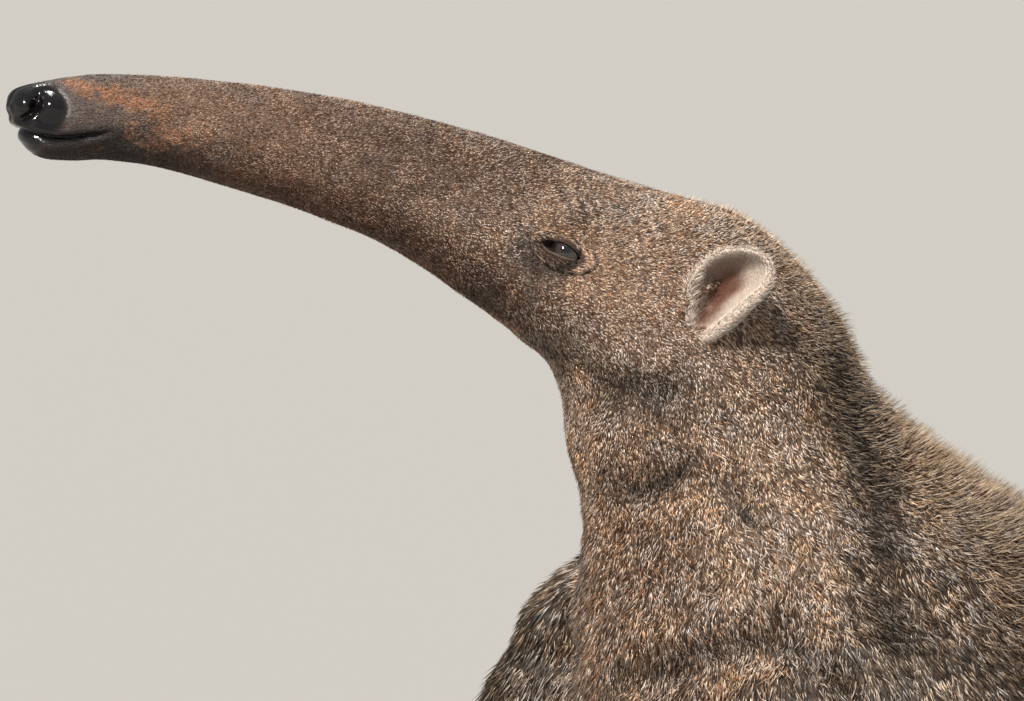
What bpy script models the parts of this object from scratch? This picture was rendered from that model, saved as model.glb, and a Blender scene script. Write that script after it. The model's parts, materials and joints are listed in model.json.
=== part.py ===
"""Giant anteater standing with its head raised: a still, life-size model, in metres.

The animal faces -Y, its left side is +X and its soles stand on the floor at z = 0. The
trunk, from nose to tail, is one lofted form given by sections between its underside and
its back. Thin gaps part it into head, neck, torso and tail. Legs, ears, eyes and claws
are pieces of their own, each cut to the form that it grows from with the same small gap.
"""

import math
import random
from collections import namedtuple

import bmesh
import bpy
from mathutils import Matrix, Vector

# Gap kept between touching pieces
GAP = 0.0003

# Sections of the trunk: the point below and the point above, as (y, z), and half the width
Section = namedtuple("Section", "below above half_width")

TRUNK = (
    Section((-0.4318, 0.7745), (-0.4318, 0.7815), 0.0050),  # front of the nose
    Section((-0.4292, 0.7690), (-0.4290, 0.7862), 0.0105),  # nose pad
    Section((-0.4240, 0.7610), (-0.4232, 0.7889), 0.0132),  # lips
    Section((-0.4160, 0.7562), (-0.4150, 0.7902), 0.0146),  # nostrils
    Section((-0.4035, 0.7547), (-0.4025, 0.7918), 0.0156),
    Section((-0.3885, 0.7532), (-0.3875, 0.7926), 0.0166),  # corner of the mouth
    Section((-0.3630, 0.7490), (-0.3585, 0.7908), 0.0180),
    Section((-0.3280, 0.7385), (-0.3165, 0.7860), 0.0205),  # front of the muzzle
    Section((-0.2890, 0.7250), (-0.2725, 0.7783), 0.0235),
    Section((-0.2500, 0.7078), (-0.2305, 0.7680), 0.0280),  # middle of the muzzle
    Section((-0.2130, 0.6835), (-0.1865, 0.7548), 0.0345),
    Section((-0.1860, 0.6630), (-0.1475, 0.7415), 0.0430),  # eyes
    Section((-0.1710, 0.6500), (-0.1130, 0.7308), 0.0500),  # cheeks
    Section((-0.1640, 0.6350), (-0.0770, 0.7195), 0.0545),  # ears
    Section((-0.1590, 0.6165), (-0.0480, 0.6965), 0.0575),  # back of the skull
    Section((-0.1565, 0.5980), (-0.0265, 0.6690), 0.0610),  # nape
    Section((-0.1565, 0.5795), (-0.0120, 0.6420), 0.0670),
    Section((-0.1575, 0.5610), (0.0060, 0.6235), 0.0780),  # foot of the neck
    Section((-0.1595, 0.5380), (0.0310, 0.6060), 0.0940),
    Section((-0.1620, 0.5020), (0.0570, 0.5880), 0.1120),  # withers
    Section((-0.1560, 0.4400), (0.0860, 0.5730), 0.1260),  # shoulders
    Section((-0.1080, 0.3540), (0.1330, 0.5620), 0.1350),  # chest
    Section((0.0200, 0.2940), (0.1950, 0.5540), 0.1400),  # ribs
    Section((0.1600, 0.2740), (0.2750, 0.5470), 0.1430),  # belly
    Section((0.2900, 0.2720), (0.3700, 0.5370), 0.1380),  # loins
    Section((0.4100, 0.2860), (0.4600, 0.5220), 0.1240),  # haunches
    Section((0.5100, 0.3160), (0.5350, 0.4980), 0.0960),  # rump
    Section((0.5850, 0.3560), (0.6000, 0.4620), 0.0600),  # root of the tail
    Section((0.6700, 0.3460), (0.6850, 0.4200), 0.0400),
    Section((0.7900, 0.3160), (0.8000, 0.3760), 0.0310),
    Section((0.9500, 0.2900), (0.9560, 0.3380), 0.0250),  # middle of the tail
    Section((1.1200, 0.2780), (1.1220, 0.3140), 0.0190),
    Section((1.2700, 0.2820), (1.2700, 0.3040), 0.0110),  # end of the tail's flesh
)
NOSE = 0
SKULL_END = 14.5
NECK_END = 18.0
TAIL_START = 27.0
TAIL_END = len(TRUNK) - 1

# The dense inner part of the tail's coat, which its outer locks grow from
TAIL_COAT = (
    Section((0.5850, 0.3560), (0.6000, 0.4620), 0.0600),
    Section((0.6700, 0.2860), (0.6850, 0.4500), 0.0560),
    Section((0.7900, 0.2050), (0.8000, 0.4280), 0.0540),
    Section((0.9500, 0.1500), (0.9560, 0.4060), 0.0520),
    Section((1.1200, 0.1350), (1.1220, 0.3860), 0.0480),
    Section((1.2700, 0.1550), (1.2750, 0.3540), 0.0360),
    Section((1.3600, 0.2050), (1.3650, 0.2950), 0.0170),
)

# The line of the mouth, as (y, z) from the front to its corner
MOUTH_LINE = (
    (-0.4400, 0.7710),
    (-0.4318, 0.7698),
    (-0.4262, 0.7671),
    (-0.4140, 0.7647),
    (-0.4035, 0.7652),
    (-0.3930, 0.7664),
    (-0.3850, 0.7678),
)
MOUTH_HALF_GAP = 0.0008

# Nostrils: slits on the sides of the nose, close behind its front
NOSTRIL_PLACE = Vector((0.0122, -0.4215, 0.7790))
NOSTRIL_SIZE = (0.0045, 0.0030, 0.0048)

# Eyes: a ball sunk in the side of the head, in an almond of lids
EYE_PLACE = Vector((0.0392, -0.1790, 0.7060))
EYE_RADIUS = 0.0068
EYE_SIDES = 10
LID_STEPS = 14
LID_HALF_LENGTH = 0.0100
LID_HALF_HEIGHT = 0.0058
LID_RADIUS = 0.0018
LID_SLANT = math.radians(-24)

# Ears: an oval cup on the side of the skull, standing out and back
EAR_ROOT = Vector((0.0480, -0.1193, 0.6684))
EAR_TIP = Vector((0.0790, -0.0934, 0.7043))
EAR_FACING = Vector((0.664, -0.747, -0.034))
EAR_HALF_WIDTH = 0.0138
EAR_HALF_DEPTH = 0.0095
EAR_WALL = 0.0022

# A limb's joints: place, then half-sizes across (x) and fore and aft
Joint = namedtuple("Joint", "place across along")

FORELEG = (
    Joint((0.076, -0.030, 0.555), 0.030, 0.048),  # top of the shoulder blade
    Joint((0.088, -0.044, 0.490), 0.056, 0.088),  # shoulder
    Joint((0.102, -0.030, 0.410), 0.064, 0.090),  # upper arm
    Joint((0.112, -0.002, 0.330), 0.058, 0.074),  # elbow
    Joint((0.114, 0.000, 0.255), 0.051, 0.060),
    Joint((0.110, -0.010, 0.185), 0.047, 0.053),  # forearm
    Joint((0.104, -0.022, 0.120), 0.042, 0.047),
    Joint((0.100, -0.034, 0.070), 0.041, 0.046),  # wrist
    Joint((0.097, -0.044, 0.030), 0.042, 0.048),  # fist
    Joint((0.096, -0.048, -0.010), 0.036, 0.042),  # cut off level by the floor
)
HIND_LEG = (
    Joint((0.060, 0.470, 0.450), 0.040, 0.066),  # hip
    Joint((0.082, 0.452, 0.385), 0.064, 0.102),  # thigh
    Joint((0.098, 0.432, 0.310), 0.068, 0.102),
    Joint((0.108, 0.424, 0.235), 0.058, 0.080),  # knee
    Joint((0.109, 0.444, 0.165), 0.048, 0.058),  # shank
    Joint((0.107, 0.466, 0.110), 0.041, 0.047),
    Joint((0.105, 0.478, 0.060), 0.038, 0.043),  # ankle
    Joint((0.105, 0.482, 0.020), 0.036, 0.040),  # heel
    Joint((0.105, 0.482, -0.010), 0.031, 0.034),  # cut off level by the floor
)
HIND_FOOT = (
    Joint((0.105, 0.505, 0.024), 0.024, 0.024),
    Joint((0.105, 0.480, 0.026), 0.034, 0.032),
    Joint((0.108, 0.430, 0.024), 0.039, 0.030),
    Joint((0.112, 0.388, 0.017), 0.041, 0.022),
    Joint((0.113, 0.368, 0.013), 0.036, 0.015),  # ball of the toes
)

# How far each foot stands ahead of (-) or behind (+) its plain place
STRIDE = {
    "foreleg_left": 0.020,
    "foreleg_right": -0.105,
    "hind_leg_left": -0.045,
    "hind_leg_right": 0.040,
}
STRIDE_START = {"foreleg": 0.600, "hind_leg": 0.450}
STRIDE_FULL = {"foreleg": 0.300, "hind_leg": 0.060}

# Claws: length, radius at the root, and how far they curl
Claw = namedtuple("Claw", "place heading length radius curl")

# The long claws of the forefoot fold back along the inner side of the fist
FORE_CLAWS = (
    Claw((0.064, -0.044, 0.052), (-0.30, 0.95, -0.10), 0.042, 0.0060, 0.55),
    Claw((0.061, -0.052, 0.032), (-0.34, 0.94, -0.06), 0.062, 0.0078, 0.60),
    Claw((0.066, -0.050, 0.013), (-0.34, 0.94, 0.00), 0.028, 0.0048, 0.50),
)
FINGER_LENGTH = 0.010
HIND_CLAW_COUNT = 5
HIND_TOE_SPREAD = 0.0155
HIND_TOE_LENGTH = 0.020
HIND_TOE_RADIUS = 0.0086
HIND_CLAW_LENGTH = 0.024
HIND_CLAW_RADIUS = 0.0052

# Numbers of sides round each form
HEAD_SIDES = 22
TRUNK_SIDES = 22
TAIL_SIDES = 10
LIMB_SIDES = 12
CLAW_SIDES = 6

# Locks of the long coat: rows by place along the trunk and angle round it, with lengths at
# the row's start and end, width, lift off the skin, fall from tailwards to straight down,
# droop along the lock, and roll of the lock's flat side
Row = namedtuple(
    "Row", "start end count angle length_start length_end width lift fall droop roll"
)

TORSO_ROWS = (
    Row(18.6, 26.6, 13, 90, 0.075, 0.210, 0.050, 36, 0.0, 0.12, 62),
    Row(19.0, 26.5, 10, 62, 0.080, 0.190, 0.050, 24, 0.15, 0.10, 0),
    Row(19.6, 26.4, 7, 34, 0.095, 0.170, 0.056, 17, 0.32, 0.06, 0),
    Row(20.5, 25.8, 6, 8, 0.105, 0.155, 0.058, 15, 0.48, 0.03, 0),
    Row(20.9, 24.5, 5, -20, 0.115, 0.145, 0.058, 17, 0.60, 0.00, 0),
    Row(21.3, 24.5, 4, -48, 0.115, 0.135, 0.058, 30, 0.60, -0.04, 0),
)
TAIL_ROWS = (
    Row(1.0, 5.6, 7, 90, 0.150, 0.170, 0.064, 24, 0.0, 0.10, 62),
    Row(0.3, 5.5, 6, 48, 0.160, 0.180, 0.062, 14, 0.25, 0.08, 0),
    Row(0.3, 5.6, 6, 8, 0.170, 0.180, 0.064, 12, 0.45, 0.06, 0),
    Row(0.2, 5.5, 6, -34, 0.170, 0.180, 0.064, 12, 0.62, 0.02, 0),
    Row(0.7, 5.4, 7, -90, 0.110, 0.130, 0.064, 55, 0.0, 0.22, 62),
)
TAIL_TIP_LOCKS = 5
TAIL_TIP_LENGTH = 0.150
LOCK_THICKNESS = 0.20
LOCK_SINK = 0.012
FLOOR_CLEAR = 0.008

# Locks of the legs: rows by place down the leg, count and length, and the span of angles
# round it, from its outer face (0) to its rear (90)
LEG_ROWS = {
    "hind_leg": ((0.60, 3, 0.130), (1.50, 4, 0.125), (2.50, 4, 0.105), (3.40, 3, 0.080)),
    "foreleg": ((3.9, 3, 0.120), (4.9, 2, 0.090)),
}
LEG_LOCK_ANGLES = {"hind_leg": (-35, 125), "foreleg": (50, 115)}

# Height under which the forelegs carry locks, clear of the flank's
FORELEG_LOCK_TOP = 0.214

# The tail's own space: below and behind a wedge of planes at its root, which rises by this
TAIL_TOP_RISE = math.tan(math.radians(14))

# The block of space round a thigh that only the hind leg's own locks fill
THIGH_BLOCK_LOW = Vector((0.030, 0.330, -0.050))
THIGH_BLOCK_HIGH = Vector((0.300, 0.640, 0.400))

SEED = 7


def clear_scene():
    for obj in list(bpy.data.objects):
        bpy.data.objects.remove(obj)


def material(name, colour, roughness):
    made = bpy.data.materials.new(name)
    made.use_nodes = True
    shader = made.node_tree.nodes["Principled BSDF"]
    shader.inputs["Base Color"].default_value = (*colour, 1.0)
    shader.inputs["Roughness"].default_value = roughness
    return made


def between(rows, t):
    """Numbers at place t of rows of numbers, on a smooth curve through the rows."""
    i = min(int(t), len(rows) - 2)
    f = t - i
    before, here = rows[max(i - 1, 0)], rows[i]
    there, after = rows[i + 1], rows[min(i + 2, len(rows) - 1)]
    found = []
    for a, b, c, d in zip(before, here, there, after):
        slope_here, slope_there = (c - a) / 2, (d - b) / 2
        found.append(
            b * (1 + 2 * f) * (1 - f) ** 2
            + slope_here * f * (1 - f) ** 2
            + c * f * f * (3 - 2 * f)
            + slope_there * f * f * (f - 1)
        )
    return found


def flat(section):
    return (*section.below, *section.above, section.half_width)


def section_at(sections, t, grow=0.0):
    """Centre, side, up, half-width and half-height of a section, made larger by grow."""
    values = between([flat(s) for s in sections], t)
    below = Vector((0.0, values[0], values[1]))
    above = Vector((0.0, values[2], values[3]))
    up = above - below
    half_height = up.length / 2 + grow
    return (below + above) / 2, Vector((1, 0, 0)), up.normalized(), values[4] + grow, half_height


def surface_point(sections, t, angle):
    """A point of a lofted surface. Angle 0 is the left side and 90 the back."""
    centre, side, up, half_width, half_height = section_at(sections, t)
    turn = math.radians(angle)
    return centre + side * half_width * math.cos(turn) + up * half_height * math.sin(turn)


def surface_spot(sections, t, angle, fall):
    """Point, outward direction and lie of the coat: tailwards, and down by its fall."""
    last = len(sections) - 1
    point = surface_point(sections, t, angle)
    ahead = surface_point(sections, max(t - 0.2, 0), angle)
    behind = surface_point(sections, min(t + 0.2, last), angle)
    lie = (behind - ahead).normalized()
    round_it = surface_point(sections, t, angle + 2) - surface_point(sections, t, angle - 2)
    out = lie.cross(round_it).normalized()
    if out.dot(point - section_at(sections, t)[0]) < 0:
        out = -out
    lie = lie * (1 - fall) - Vector((0, 0, fall))
    lie = (lie - out * lie.dot(out)).normalized()
    return point, out, lie


def ring(mesh, sides, centre, side, up, half_side, half_up):
    """A flat ring of edges in the plane of side and up."""
    place = Matrix.Identity(4)
    for row in range(3):
        place[row][0] = side[row] * half_side
        place[row][1] = up[row] * half_up
        place[row][2] = side.cross(up)[row]
        place[row][3] = centre[row]
    made = bmesh.ops.create_circle(mesh, segments=sides, radius=1.0, matrix=place)
    return list({edge for vert in made["verts"] for edge in vert.link_edges})


def loft(name, rings, sides, tip=None):
    """A closed mesh object through rings. Its last ring closes at the point tip, if given."""
    mesh = bmesh.new()
    loops = [ring(mesh, sides, *values) for values in rings]
    for first, second in zip(loops, loops[1:]):
        bmesh.ops.bridge_loops(mesh, edges=first + second)
    bmesh.ops.contextual_create(mesh, geom=loops[0])
    if tip is None:
        bmesh.ops.contextual_create(mesh, geom=loops[-1])
    else:
        end = mesh.verts.new(tip)
        for edge in loops[-1]:
            mesh.faces.new((*edge.verts, end))
    bmesh.ops.triangulate(mesh, faces=mesh.faces)
    bmesh.ops.recalc_face_normals(mesh, faces=mesh.faces)
    return finished(name, mesh)


def finished(name, mesh):
    data = bpy.data.meshes.new(name)
    mesh.to_mesh(data)
    mesh.free()
    obj = bpy.data.objects.new(name, data)
    bpy.context.scene.collection.objects.link(obj)
    return obj


def steps(start, end, count):
    return [start + (end - start) * i / (count - 1) for i in range(count)]


def trunk_loft(name, sections, start, end, count, sides, grow=0.0, trim=(0.0, 0.0)):
    """A length of the trunk. Trim draws its two end faces in, to leave a gap there."""
    rings = [list(section_at(sections, t, grow)) for t in steps(start, end, count)]
    for values, drawn_in in ((rings[0], trim[0]), (rings[-1], -trim[1])):
        facing = values[1].cross(values[2])
        values[0] = values[0] - facing * drawn_in
    return loft(name, rings, sides)


def limb_rings(joints, count, mirror, shift, grow=0.0):
    """Rings down a limb, each square to its path. Shift moves a height's place along y."""
    rows = [(*j.place, j.across, j.along) for j in joints]
    values = [between(rows, t) for t in steps(0, len(joints) - 1, count)]
    places = [Vector((mirror * v[0], v[1] + shift(v[2]), v[2])) for v in values]
    rings = []
    for i, (place, v) in enumerate(zip(places, values)):
        heading = (places[min(i + 1, count - 1)] - places[max(i - 1, 0)]).normalized()
        side = Vector((1, 0, 0))
        side = (side - heading * side.dot(heading)).normalized()
        past = {0: -grow, count - 1: grow}.get(i, 0.0)
        place = place + heading * past
        rings.append((place, side, heading.cross(side), v[3] + grow, v[4] + grow))
    return rings


def boolean(obj, operation, others):
    """Applies one Boolean with a collection of closed objects, which are then removed."""
    group = bpy.data.collections.new("pieces")
    for other in others:
        group.objects.link(other)
    modifier = obj.modifiers.new("pieces", "BOOLEAN")
    modifier.operation = operation
    modifier.operand_type = "COLLECTION"
    modifier.collection = group
    modifier.solver = "MANIFOLD"
    bpy.context.view_layer.update()
    graph = bpy.context.evaluated_depsgraph_get()
    joined = bpy.data.meshes.new_from_object(obj.evaluated_get(graph))
    obj.modifiers.clear()
    obj.data = joined
    for other in list(group.objects):
        bpy.data.objects.remove(other)
    bpy.data.collections.remove(group)
    return obj


def keep_largest(obj):
    """Keeps only the largest closed surface of the object."""
    mesh = bmesh.new()
    mesh.from_mesh(obj.data)
    bmesh.ops.triangulate(mesh, faces=mesh.faces)
    unseen = set(mesh.faces)
    shells = []
    while unseen:
        front = [unseen.pop()]
        shell = list(front)
        while front:
            for edge in front.pop().edges:
                for face in edge.link_faces:
                    if face in unseen:
                        unseen.remove(face)
                        front.append(face)
                        shell.append(face)
        shells.append(shell)

    def volume(shell):
        return sum(
            f.verts[0].co.dot(f.verts[1].co.cross(f.verts[2].co)) for f in shell
        )

    largest = max(shells, key=volume)
    scraps = [face for shell in shells if shell is not largest for face in shell]
    bmesh.ops.delete(mesh, geom=scraps, context="FACES")
    mesh.to_mesh(obj.data)
    mesh.free()
    return obj


def box(name, low, high, grow=0.0):
    mesh = bmesh.new()
    centre, size = (low + high) / 2, high - low
    place = Matrix.Translation(centre) @ Matrix.Diagonal(
        (*[abs(side) + 2 * grow for side in size], 1.0)
    )
    bmesh.ops.create_cube(mesh, size=1.0, matrix=place)
    return finished(name, mesh)


def ball(name, place, half_sizes, sides, turn=Matrix.Identity(4)):
    mesh = bmesh.new()
    bmesh.ops.create_uvsphere(
        mesh,
        u_segments=sides,
        v_segments=max(6, sides // 2 + 1),
        radius=1.0,
        matrix=Matrix.Translation(place) @ turn @ Matrix.Diagonal((*half_sizes, 1.0)),
    )
    return finished(name, mesh)


def frame_facing(facing, up):
    """A turn whose z faces facing and whose y is as near up as it can be."""
    z = facing.normalized()
    x = up.cross(z).normalized()
    return Matrix((x, z.cross(x), z)).transposed().to_4x4()


def mirrored(point, mirror):
    return Vector((mirror * point[0], point[1], point[2]))


def smooth(obj, sharp=40):
    obj.data.shade_smooth()
    obj.data.set_sharp_from_angle(angle=math.radians(sharp))
    return obj


def paint(obj, finish):
    obj.data.materials.clear()
    obj.data.materials.append(finish)
    return smooth(obj)


def eye_facing(mirror):
    """Outward direction of the head's side at the eye."""
    return mirrored(Vector((0.93, -0.28, 0.20)), mirror).normalized()


def lids(mirror):
    """Two ridges that meet at the corners of the eye."""
    turn = frame_facing(eye_facing(mirror), Vector((0, 0, 1)))
    slant = Matrix.Rotation(LID_SLANT * mirror, 4, "Z")
    place = Matrix.Translation(mirrored(EYE_PLACE, mirror)) @ turn @ slant
    rings = []
    for i in range(LID_STEPS):
        around = 2 * math.pi * i / LID_STEPS
        out = Vector((math.cos(around), math.sin(around), 0))
        centre = Vector((LID_HALF_LENGTH * out.x, LID_HALF_HEIGHT * out.y, EYE_RADIUS * 0.60))
        centre.z -= 0.0022 * abs(out.x) ** 2
        rings.append((centre, out))
    mesh = bmesh.new()
    loops = []
    for centre, out in rings:
        loops.append(
            ring(mesh, 5, centre, out, Vector((0, 0, 1)), LID_RADIUS, LID_RADIUS * 1.3)
        )
    for first, second in zip(loops, loops[1:] + loops[:1]):
        bmesh.ops.bridge_loops(mesh, edges=first + second)
    bmesh.ops.transform(mesh, matrix=place, verts=mesh.verts)
    bmesh.ops.recalc_face_normals(mesh, faces=mesh.faces)
    return finished("lids", mesh)


def mouth():
    """A thin slit along the line of the mouth, through the width of the lips."""
    rings = []
    for y, z in MOUTH_LINE:
        across, up = Vector((1, 0, 0)), Vector((0, 0, 1))
        rings.append((Vector((0, y, z)), across, up, 0.05, MOUTH_HALF_GAP))
    return loft("mouth", rings, 4)


def make_head():
    head = trunk_loft(
        "head", TRUNK, NOSE, SKULL_END, 29, HEAD_SIDES, trim=(0.0, GAP / 2)
    )
    boolean(head, "UNION", [lids(1), lids(-1)])
    cutters = [mouth()]
    for mirror in (1, -1):
        cutters.append(
            ball("socket", mirrored(EYE_PLACE, mirror), [EYE_RADIUS + GAP] * 3, EYE_SIDES)
        )
        turn = Matrix.Rotation(math.radians(-20), 4, "X")
        cutters.append(
            ball("nostril", mirrored(NOSTRIL_PLACE, mirror), NOSTRIL_SIZE, 10, turn)
        )
    return keep_largest(boolean(head, "DIFFERENCE", cutters))


def make_eye(name, mirror):
    return ball(name, mirrored(EYE_PLACE, mirror), [EYE_RADIUS] * 3, EYE_SIDES)


def make_ear(name, mirror):
    """An oval cup, cut to the side of the skull at its root."""
    root, tip = mirrored(EAR_ROOT, mirror), mirrored(EAR_TIP, mirror)
    half_length = (tip - root).length / 2
    turn = frame_facing(mirrored(EAR_FACING, mirror), (tip - root).normalized())
    middle = (root + tip) / 2
    ear = ball(name, middle, (EAR_HALF_WIDTH, half_length, EAR_HALF_DEPTH), 12, turn)
    hollow = ball(
        "hollow",
        middle + turn.to_3x3() @ Vector((0, 0.001, EAR_HALF_DEPTH * 0.55)),
        (EAR_HALF_WIDTH - EAR_WALL, half_length - EAR_WALL, EAR_HALF_DEPTH * 1.05),
        12,
        turn,
    )
    front = middle + turn.to_3x3() @ Vector((0, 0, EAR_HALF_DEPTH * 1.15))
    slab = ball("slab", front, (0.05, 0.05, EAR_HALF_DEPTH * 0.75), 16, turn)
    skull = trunk_loft("skull", TRUNK, NOSE, SKULL_END + 1, 40, HEAD_SIDES, grow=GAP)
    boolean(ear, "DIFFERENCE", [hollow])
    boolean(ear, "DIFFERENCE", [slab])
    return keep_largest(boolean(ear, "DIFFERENCE", [skull]))


def lock(root, out, lie, length, width, lift, droop, roll=0.0):
    """A flat, tapered lock, sunk in the surface, that bends down as it goes along its lie."""
    thickness = width * LOCK_THICKNESS
    turn = math.radians(lift)
    heading = (lie * math.cos(turn) + out * math.sin(turn)).normalized()
    flat_side = Matrix.Rotation(math.radians(roll), 3, heading) @ heading.cross(out).normalized()
    place = root - out * LOCK_SINK - heading * LOCK_SINK * 0.5
    reach = length / 3
    rings = []
    for broad, thick in ((0.85, 1.0), (1.0, 0.9), (0.72, 0.6)):
        side = (flat_side - heading * flat_side.dot(heading)).normalized()
        up = side.cross(heading).normalized()
        rings.append((place, side, up, width / 2 * broad, thickness / 2 * thick))
        heading = (heading - Vector((0, 0, droop))).normalized()
        place = place + heading * reach
    lowest = FLOOR_CLEAR + width * 0.1
    place.z = max(place.z, lowest)
    rings = [(Vector((p.x, p.y, max(p.z, lowest + w / 3))), s, u, w, h) for p, s, u, w, h in rings]
    return loft("lock", rings, 4, tip=place)


def row_locks(sections, row, mirror, rand):
    """The locks of one row, on one side of a form, with a real coat's small variety."""
    made = []
    for i, t in enumerate(steps(row.start, row.end, row.count)):
        share = i / (row.count - 1)
        angle = row.angle + rand.uniform(-4, 4)
        t = min(max(t + rand.uniform(-0.12, 0.12), 0), len(sections) - 1)
        around = angle if mirror > 0 else 180 - angle
        point, out, lie = surface_spot(sections, t, around, row.fall)
        length = row.length_start + (row.length_end - row.length_start) * share
        made.append(
            lock(
                point,
                out,
                lie,
                length * rand.uniform(0.88, 1.12),
                row.width * rand.uniform(0.9, 1.1),
                row.lift * rand.uniform(0.85, 1.15),
                row.droop,
                row.roll * rand.choice((-1, 1)),
            )
        )
    return made


def rows_of_locks(sections, rows, rand):
    made = []
    for row in rows:
        sides = (1,) if abs(row.angle) == 90 else (1, -1)
        for mirror in sides:
            made += row_locks(sections, row, mirror, rand)
    return made


def joined(pieces, name):
    """One object from closed pieces that may overlap."""
    first = pieces[0]
    first.name = name
    return boolean(first, "UNION", pieces[1:])


def thigh_blocks(grow):
    """The spaces kept for the hind legs' own locks."""
    return [
        box("block", mirrored(THIGH_BLOCK_LOW, m), mirrored(THIGH_BLOCK_HIGH, m), grow)
        for m in (1, -1)
    ]


def prism(name, outline, half_width):
    """A solid of constant outline, given as (y, z) points, across the animal's width."""
    mesh = bmesh.new()
    face = mesh.faces.new([mesh.verts.new((-half_width, y, z)) for y, z in outline])
    made = bmesh.ops.extrude_face_region(mesh, geom=[face])
    moved = [part for part in made["geom"] if isinstance(part, bmesh.types.BMVert)]
    bmesh.ops.translate(mesh, vec=(2 * half_width, 0, 0), verts=moved)
    bmesh.ops.recalc_face_normals(mesh, faces=mesh.faces)
    return finished(name, mesh)


def tail_space(drawn_in):
    """The space that only the tail fills: behind its root, and below the torso's last locks."""
    root = TRUNK[int(TAIL_START)]
    (low_y, low_z), (high_y, high_z) = root.below, root.above
    slope = (high_y - low_y) / (high_z - low_z)
    low_y -= slope * (low_z + 1.0)
    reach = 2.0
    outline = (
        (high_y + drawn_in, high_z - drawn_in),
        (low_y + drawn_in, -1.0),
        (high_y + reach, -1.0),
        (high_y + reach, high_z - drawn_in + reach * TAIL_TOP_RISE),
    )
    return prism("behind", outline, 0.5)


def leg_rings(name, grow=0.0):
    """Rings of a whole limb by its name."""
    mirror = 1 if name.endswith("left") else -1
    kind = "foreleg" if name.startswith("foreleg") else "hind_leg"
    top, full = STRIDE_START[kind], STRIDE_FULL[kind]

    def shift(height):
        return STRIDE[name] * min(max((top - height) / (top - full), 0.0), 1.0)

    joints, count = (FORELEG, 13) if kind == "foreleg" else (HIND_LEG, 12)
    return limb_rings(joints, count, mirror, shift, grow)


def foot_shift(name):
    stride = STRIDE[name]
    return lambda height: stride


def leg_forms(grow):
    return [loft("form", leg_rings(name, grow), LIMB_SIDES) for name in STRIDE]


def neck_form(grow, trim):
    return trunk_loft("neck", TRUNK, SKULL_END, NECK_END, 8, HEAD_SIDES, grow, (trim, trim))


def torso_form(grow, trim):
    return trunk_loft("torso", TRUNK, NECK_END, TAIL_START, 19, TRUNK_SIDES, grow, (trim, trim))


def tail_form(grow, trim):
    last = len(TAIL_COAT) - 1
    return trunk_loft("tail", TAIL_COAT, 0, last, 10, TAIL_SIDES, grow, (trim, -grow))


def make_neck():
    return neck_form(0.0, GAP / 2)


def make_torso(rand):
    """The torso with its crest, its flank coat and its belly fringe."""
    core = torso_form(0.0, GAP / 2)
    coat = joined(rows_of_locks(TRUNK, TORSO_ROWS, rand), "coat")
    cutters = leg_forms(GAP) + thigh_blocks(GAP)
    cutters += [tail_space(-GAP / 2), tail_form(GAP, -GAP), neck_form(GAP, -GAP / 2)]
    boolean(coat, "DIFFERENCE", [joined(cutters, "cutters")])
    return keep_largest(boolean(core, "UNION", [coat]))


def make_tail(rand):
    """The tail with its curtain of long locks and the brush at its end."""
    last = len(TAIL_COAT) - 1
    core = tail_form(0.0, GAP / 2)
    locks = rows_of_locks(TAIL_COAT, TAIL_ROWS, rand)
    for i in range(TAIL_TIP_LOCKS):
        angle = 90 + 360 * i / TAIL_TIP_LOCKS
        point, out, lie = surface_spot(TAIL_COAT, last - 0.1, angle, 0.0)
        length = TAIL_TIP_LENGTH * rand.uniform(0.9, 1.1)
        locks.append(lock(point, out, lie, length, 0.060, 12 + 8 * math.sin(i), 0.12))
    coat = joined(locks, "coat")
    cutters = leg_forms(GAP) + thigh_blocks(GAP)
    boolean(coat, "DIFFERENCE", [joined(cutters, "cutters")])
    boolean(coat, "INTERSECT", [tail_space(GAP / 2)])
    return keep_largest(boolean(core, "UNION", [coat]))


def leg_locks(name, rand):
    """Locks that hang from the outer and rear faces of a leg."""
    mirror = 1 if name.endswith("left") else -1
    kind, joints = ("foreleg", FORELEG) if name.startswith("foreleg") else ("hind_leg", HIND_LEG)
    rings = leg_rings(name)
    per_joint = (len(rings) - 1) / (len(joints) - 1)
    made = []
    for down, count, length in LEG_ROWS[kind]:
        place, side, along, across, deep = rings[round(down * per_joint)]
        for angle in steps(*LEG_LOCK_ANGLES[kind], count):
            turn = math.radians(angle + rand.uniform(-6, 6))
            out = Vector((mirror * math.cos(turn), math.sin(turn), 0))
            point = place + Vector((out.x * across, out.y * deep, 0))
            lie = (Vector((0, 0.35, -1)) - out * 0.1).normalized()
            size = length * rand.uniform(0.9, 1.1)
            made.append(lock(point, out, lie, size, 0.056, 14, 0.10))
    return made


def toe(place, heading, length, radius):
    """A short, blunt toe with a level end face for its claw."""
    heading = heading.normalized()
    side = heading.cross(Vector((0, 0, 1))).normalized()
    up = side.cross(heading)
    rings = []
    for share, size in ((-1.0, 1.0), (0.4, 1.05), (1.0, 0.72)):
        rings.append((place + heading * length * share, side, up, radius * size, radius * size))
    return loft("toe", rings, 8)


def hind_toes(name):
    """Place and heading of each toe's end on a hind foot."""
    mirror = 1 if name.endswith("left") else -1
    ball_of_foot = HIND_FOOT[-1].place
    found = []
    for i in range(HIND_CLAW_COUNT):
        off = i - (HIND_CLAW_COUNT - 1) / 2
        place = Vector(
            (
                mirror * (ball_of_foot[0] + off * HIND_TOE_SPREAD),
                ball_of_foot[1] + STRIDE[name] + 0.0022 * off * off,
                HIND_TOE_RADIUS + 0.0022,
            )
        )
        heading = Vector((mirror * 0.10 * off, -1.0, -0.05)).normalized()
        found.append((place, heading))
    return found


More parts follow.
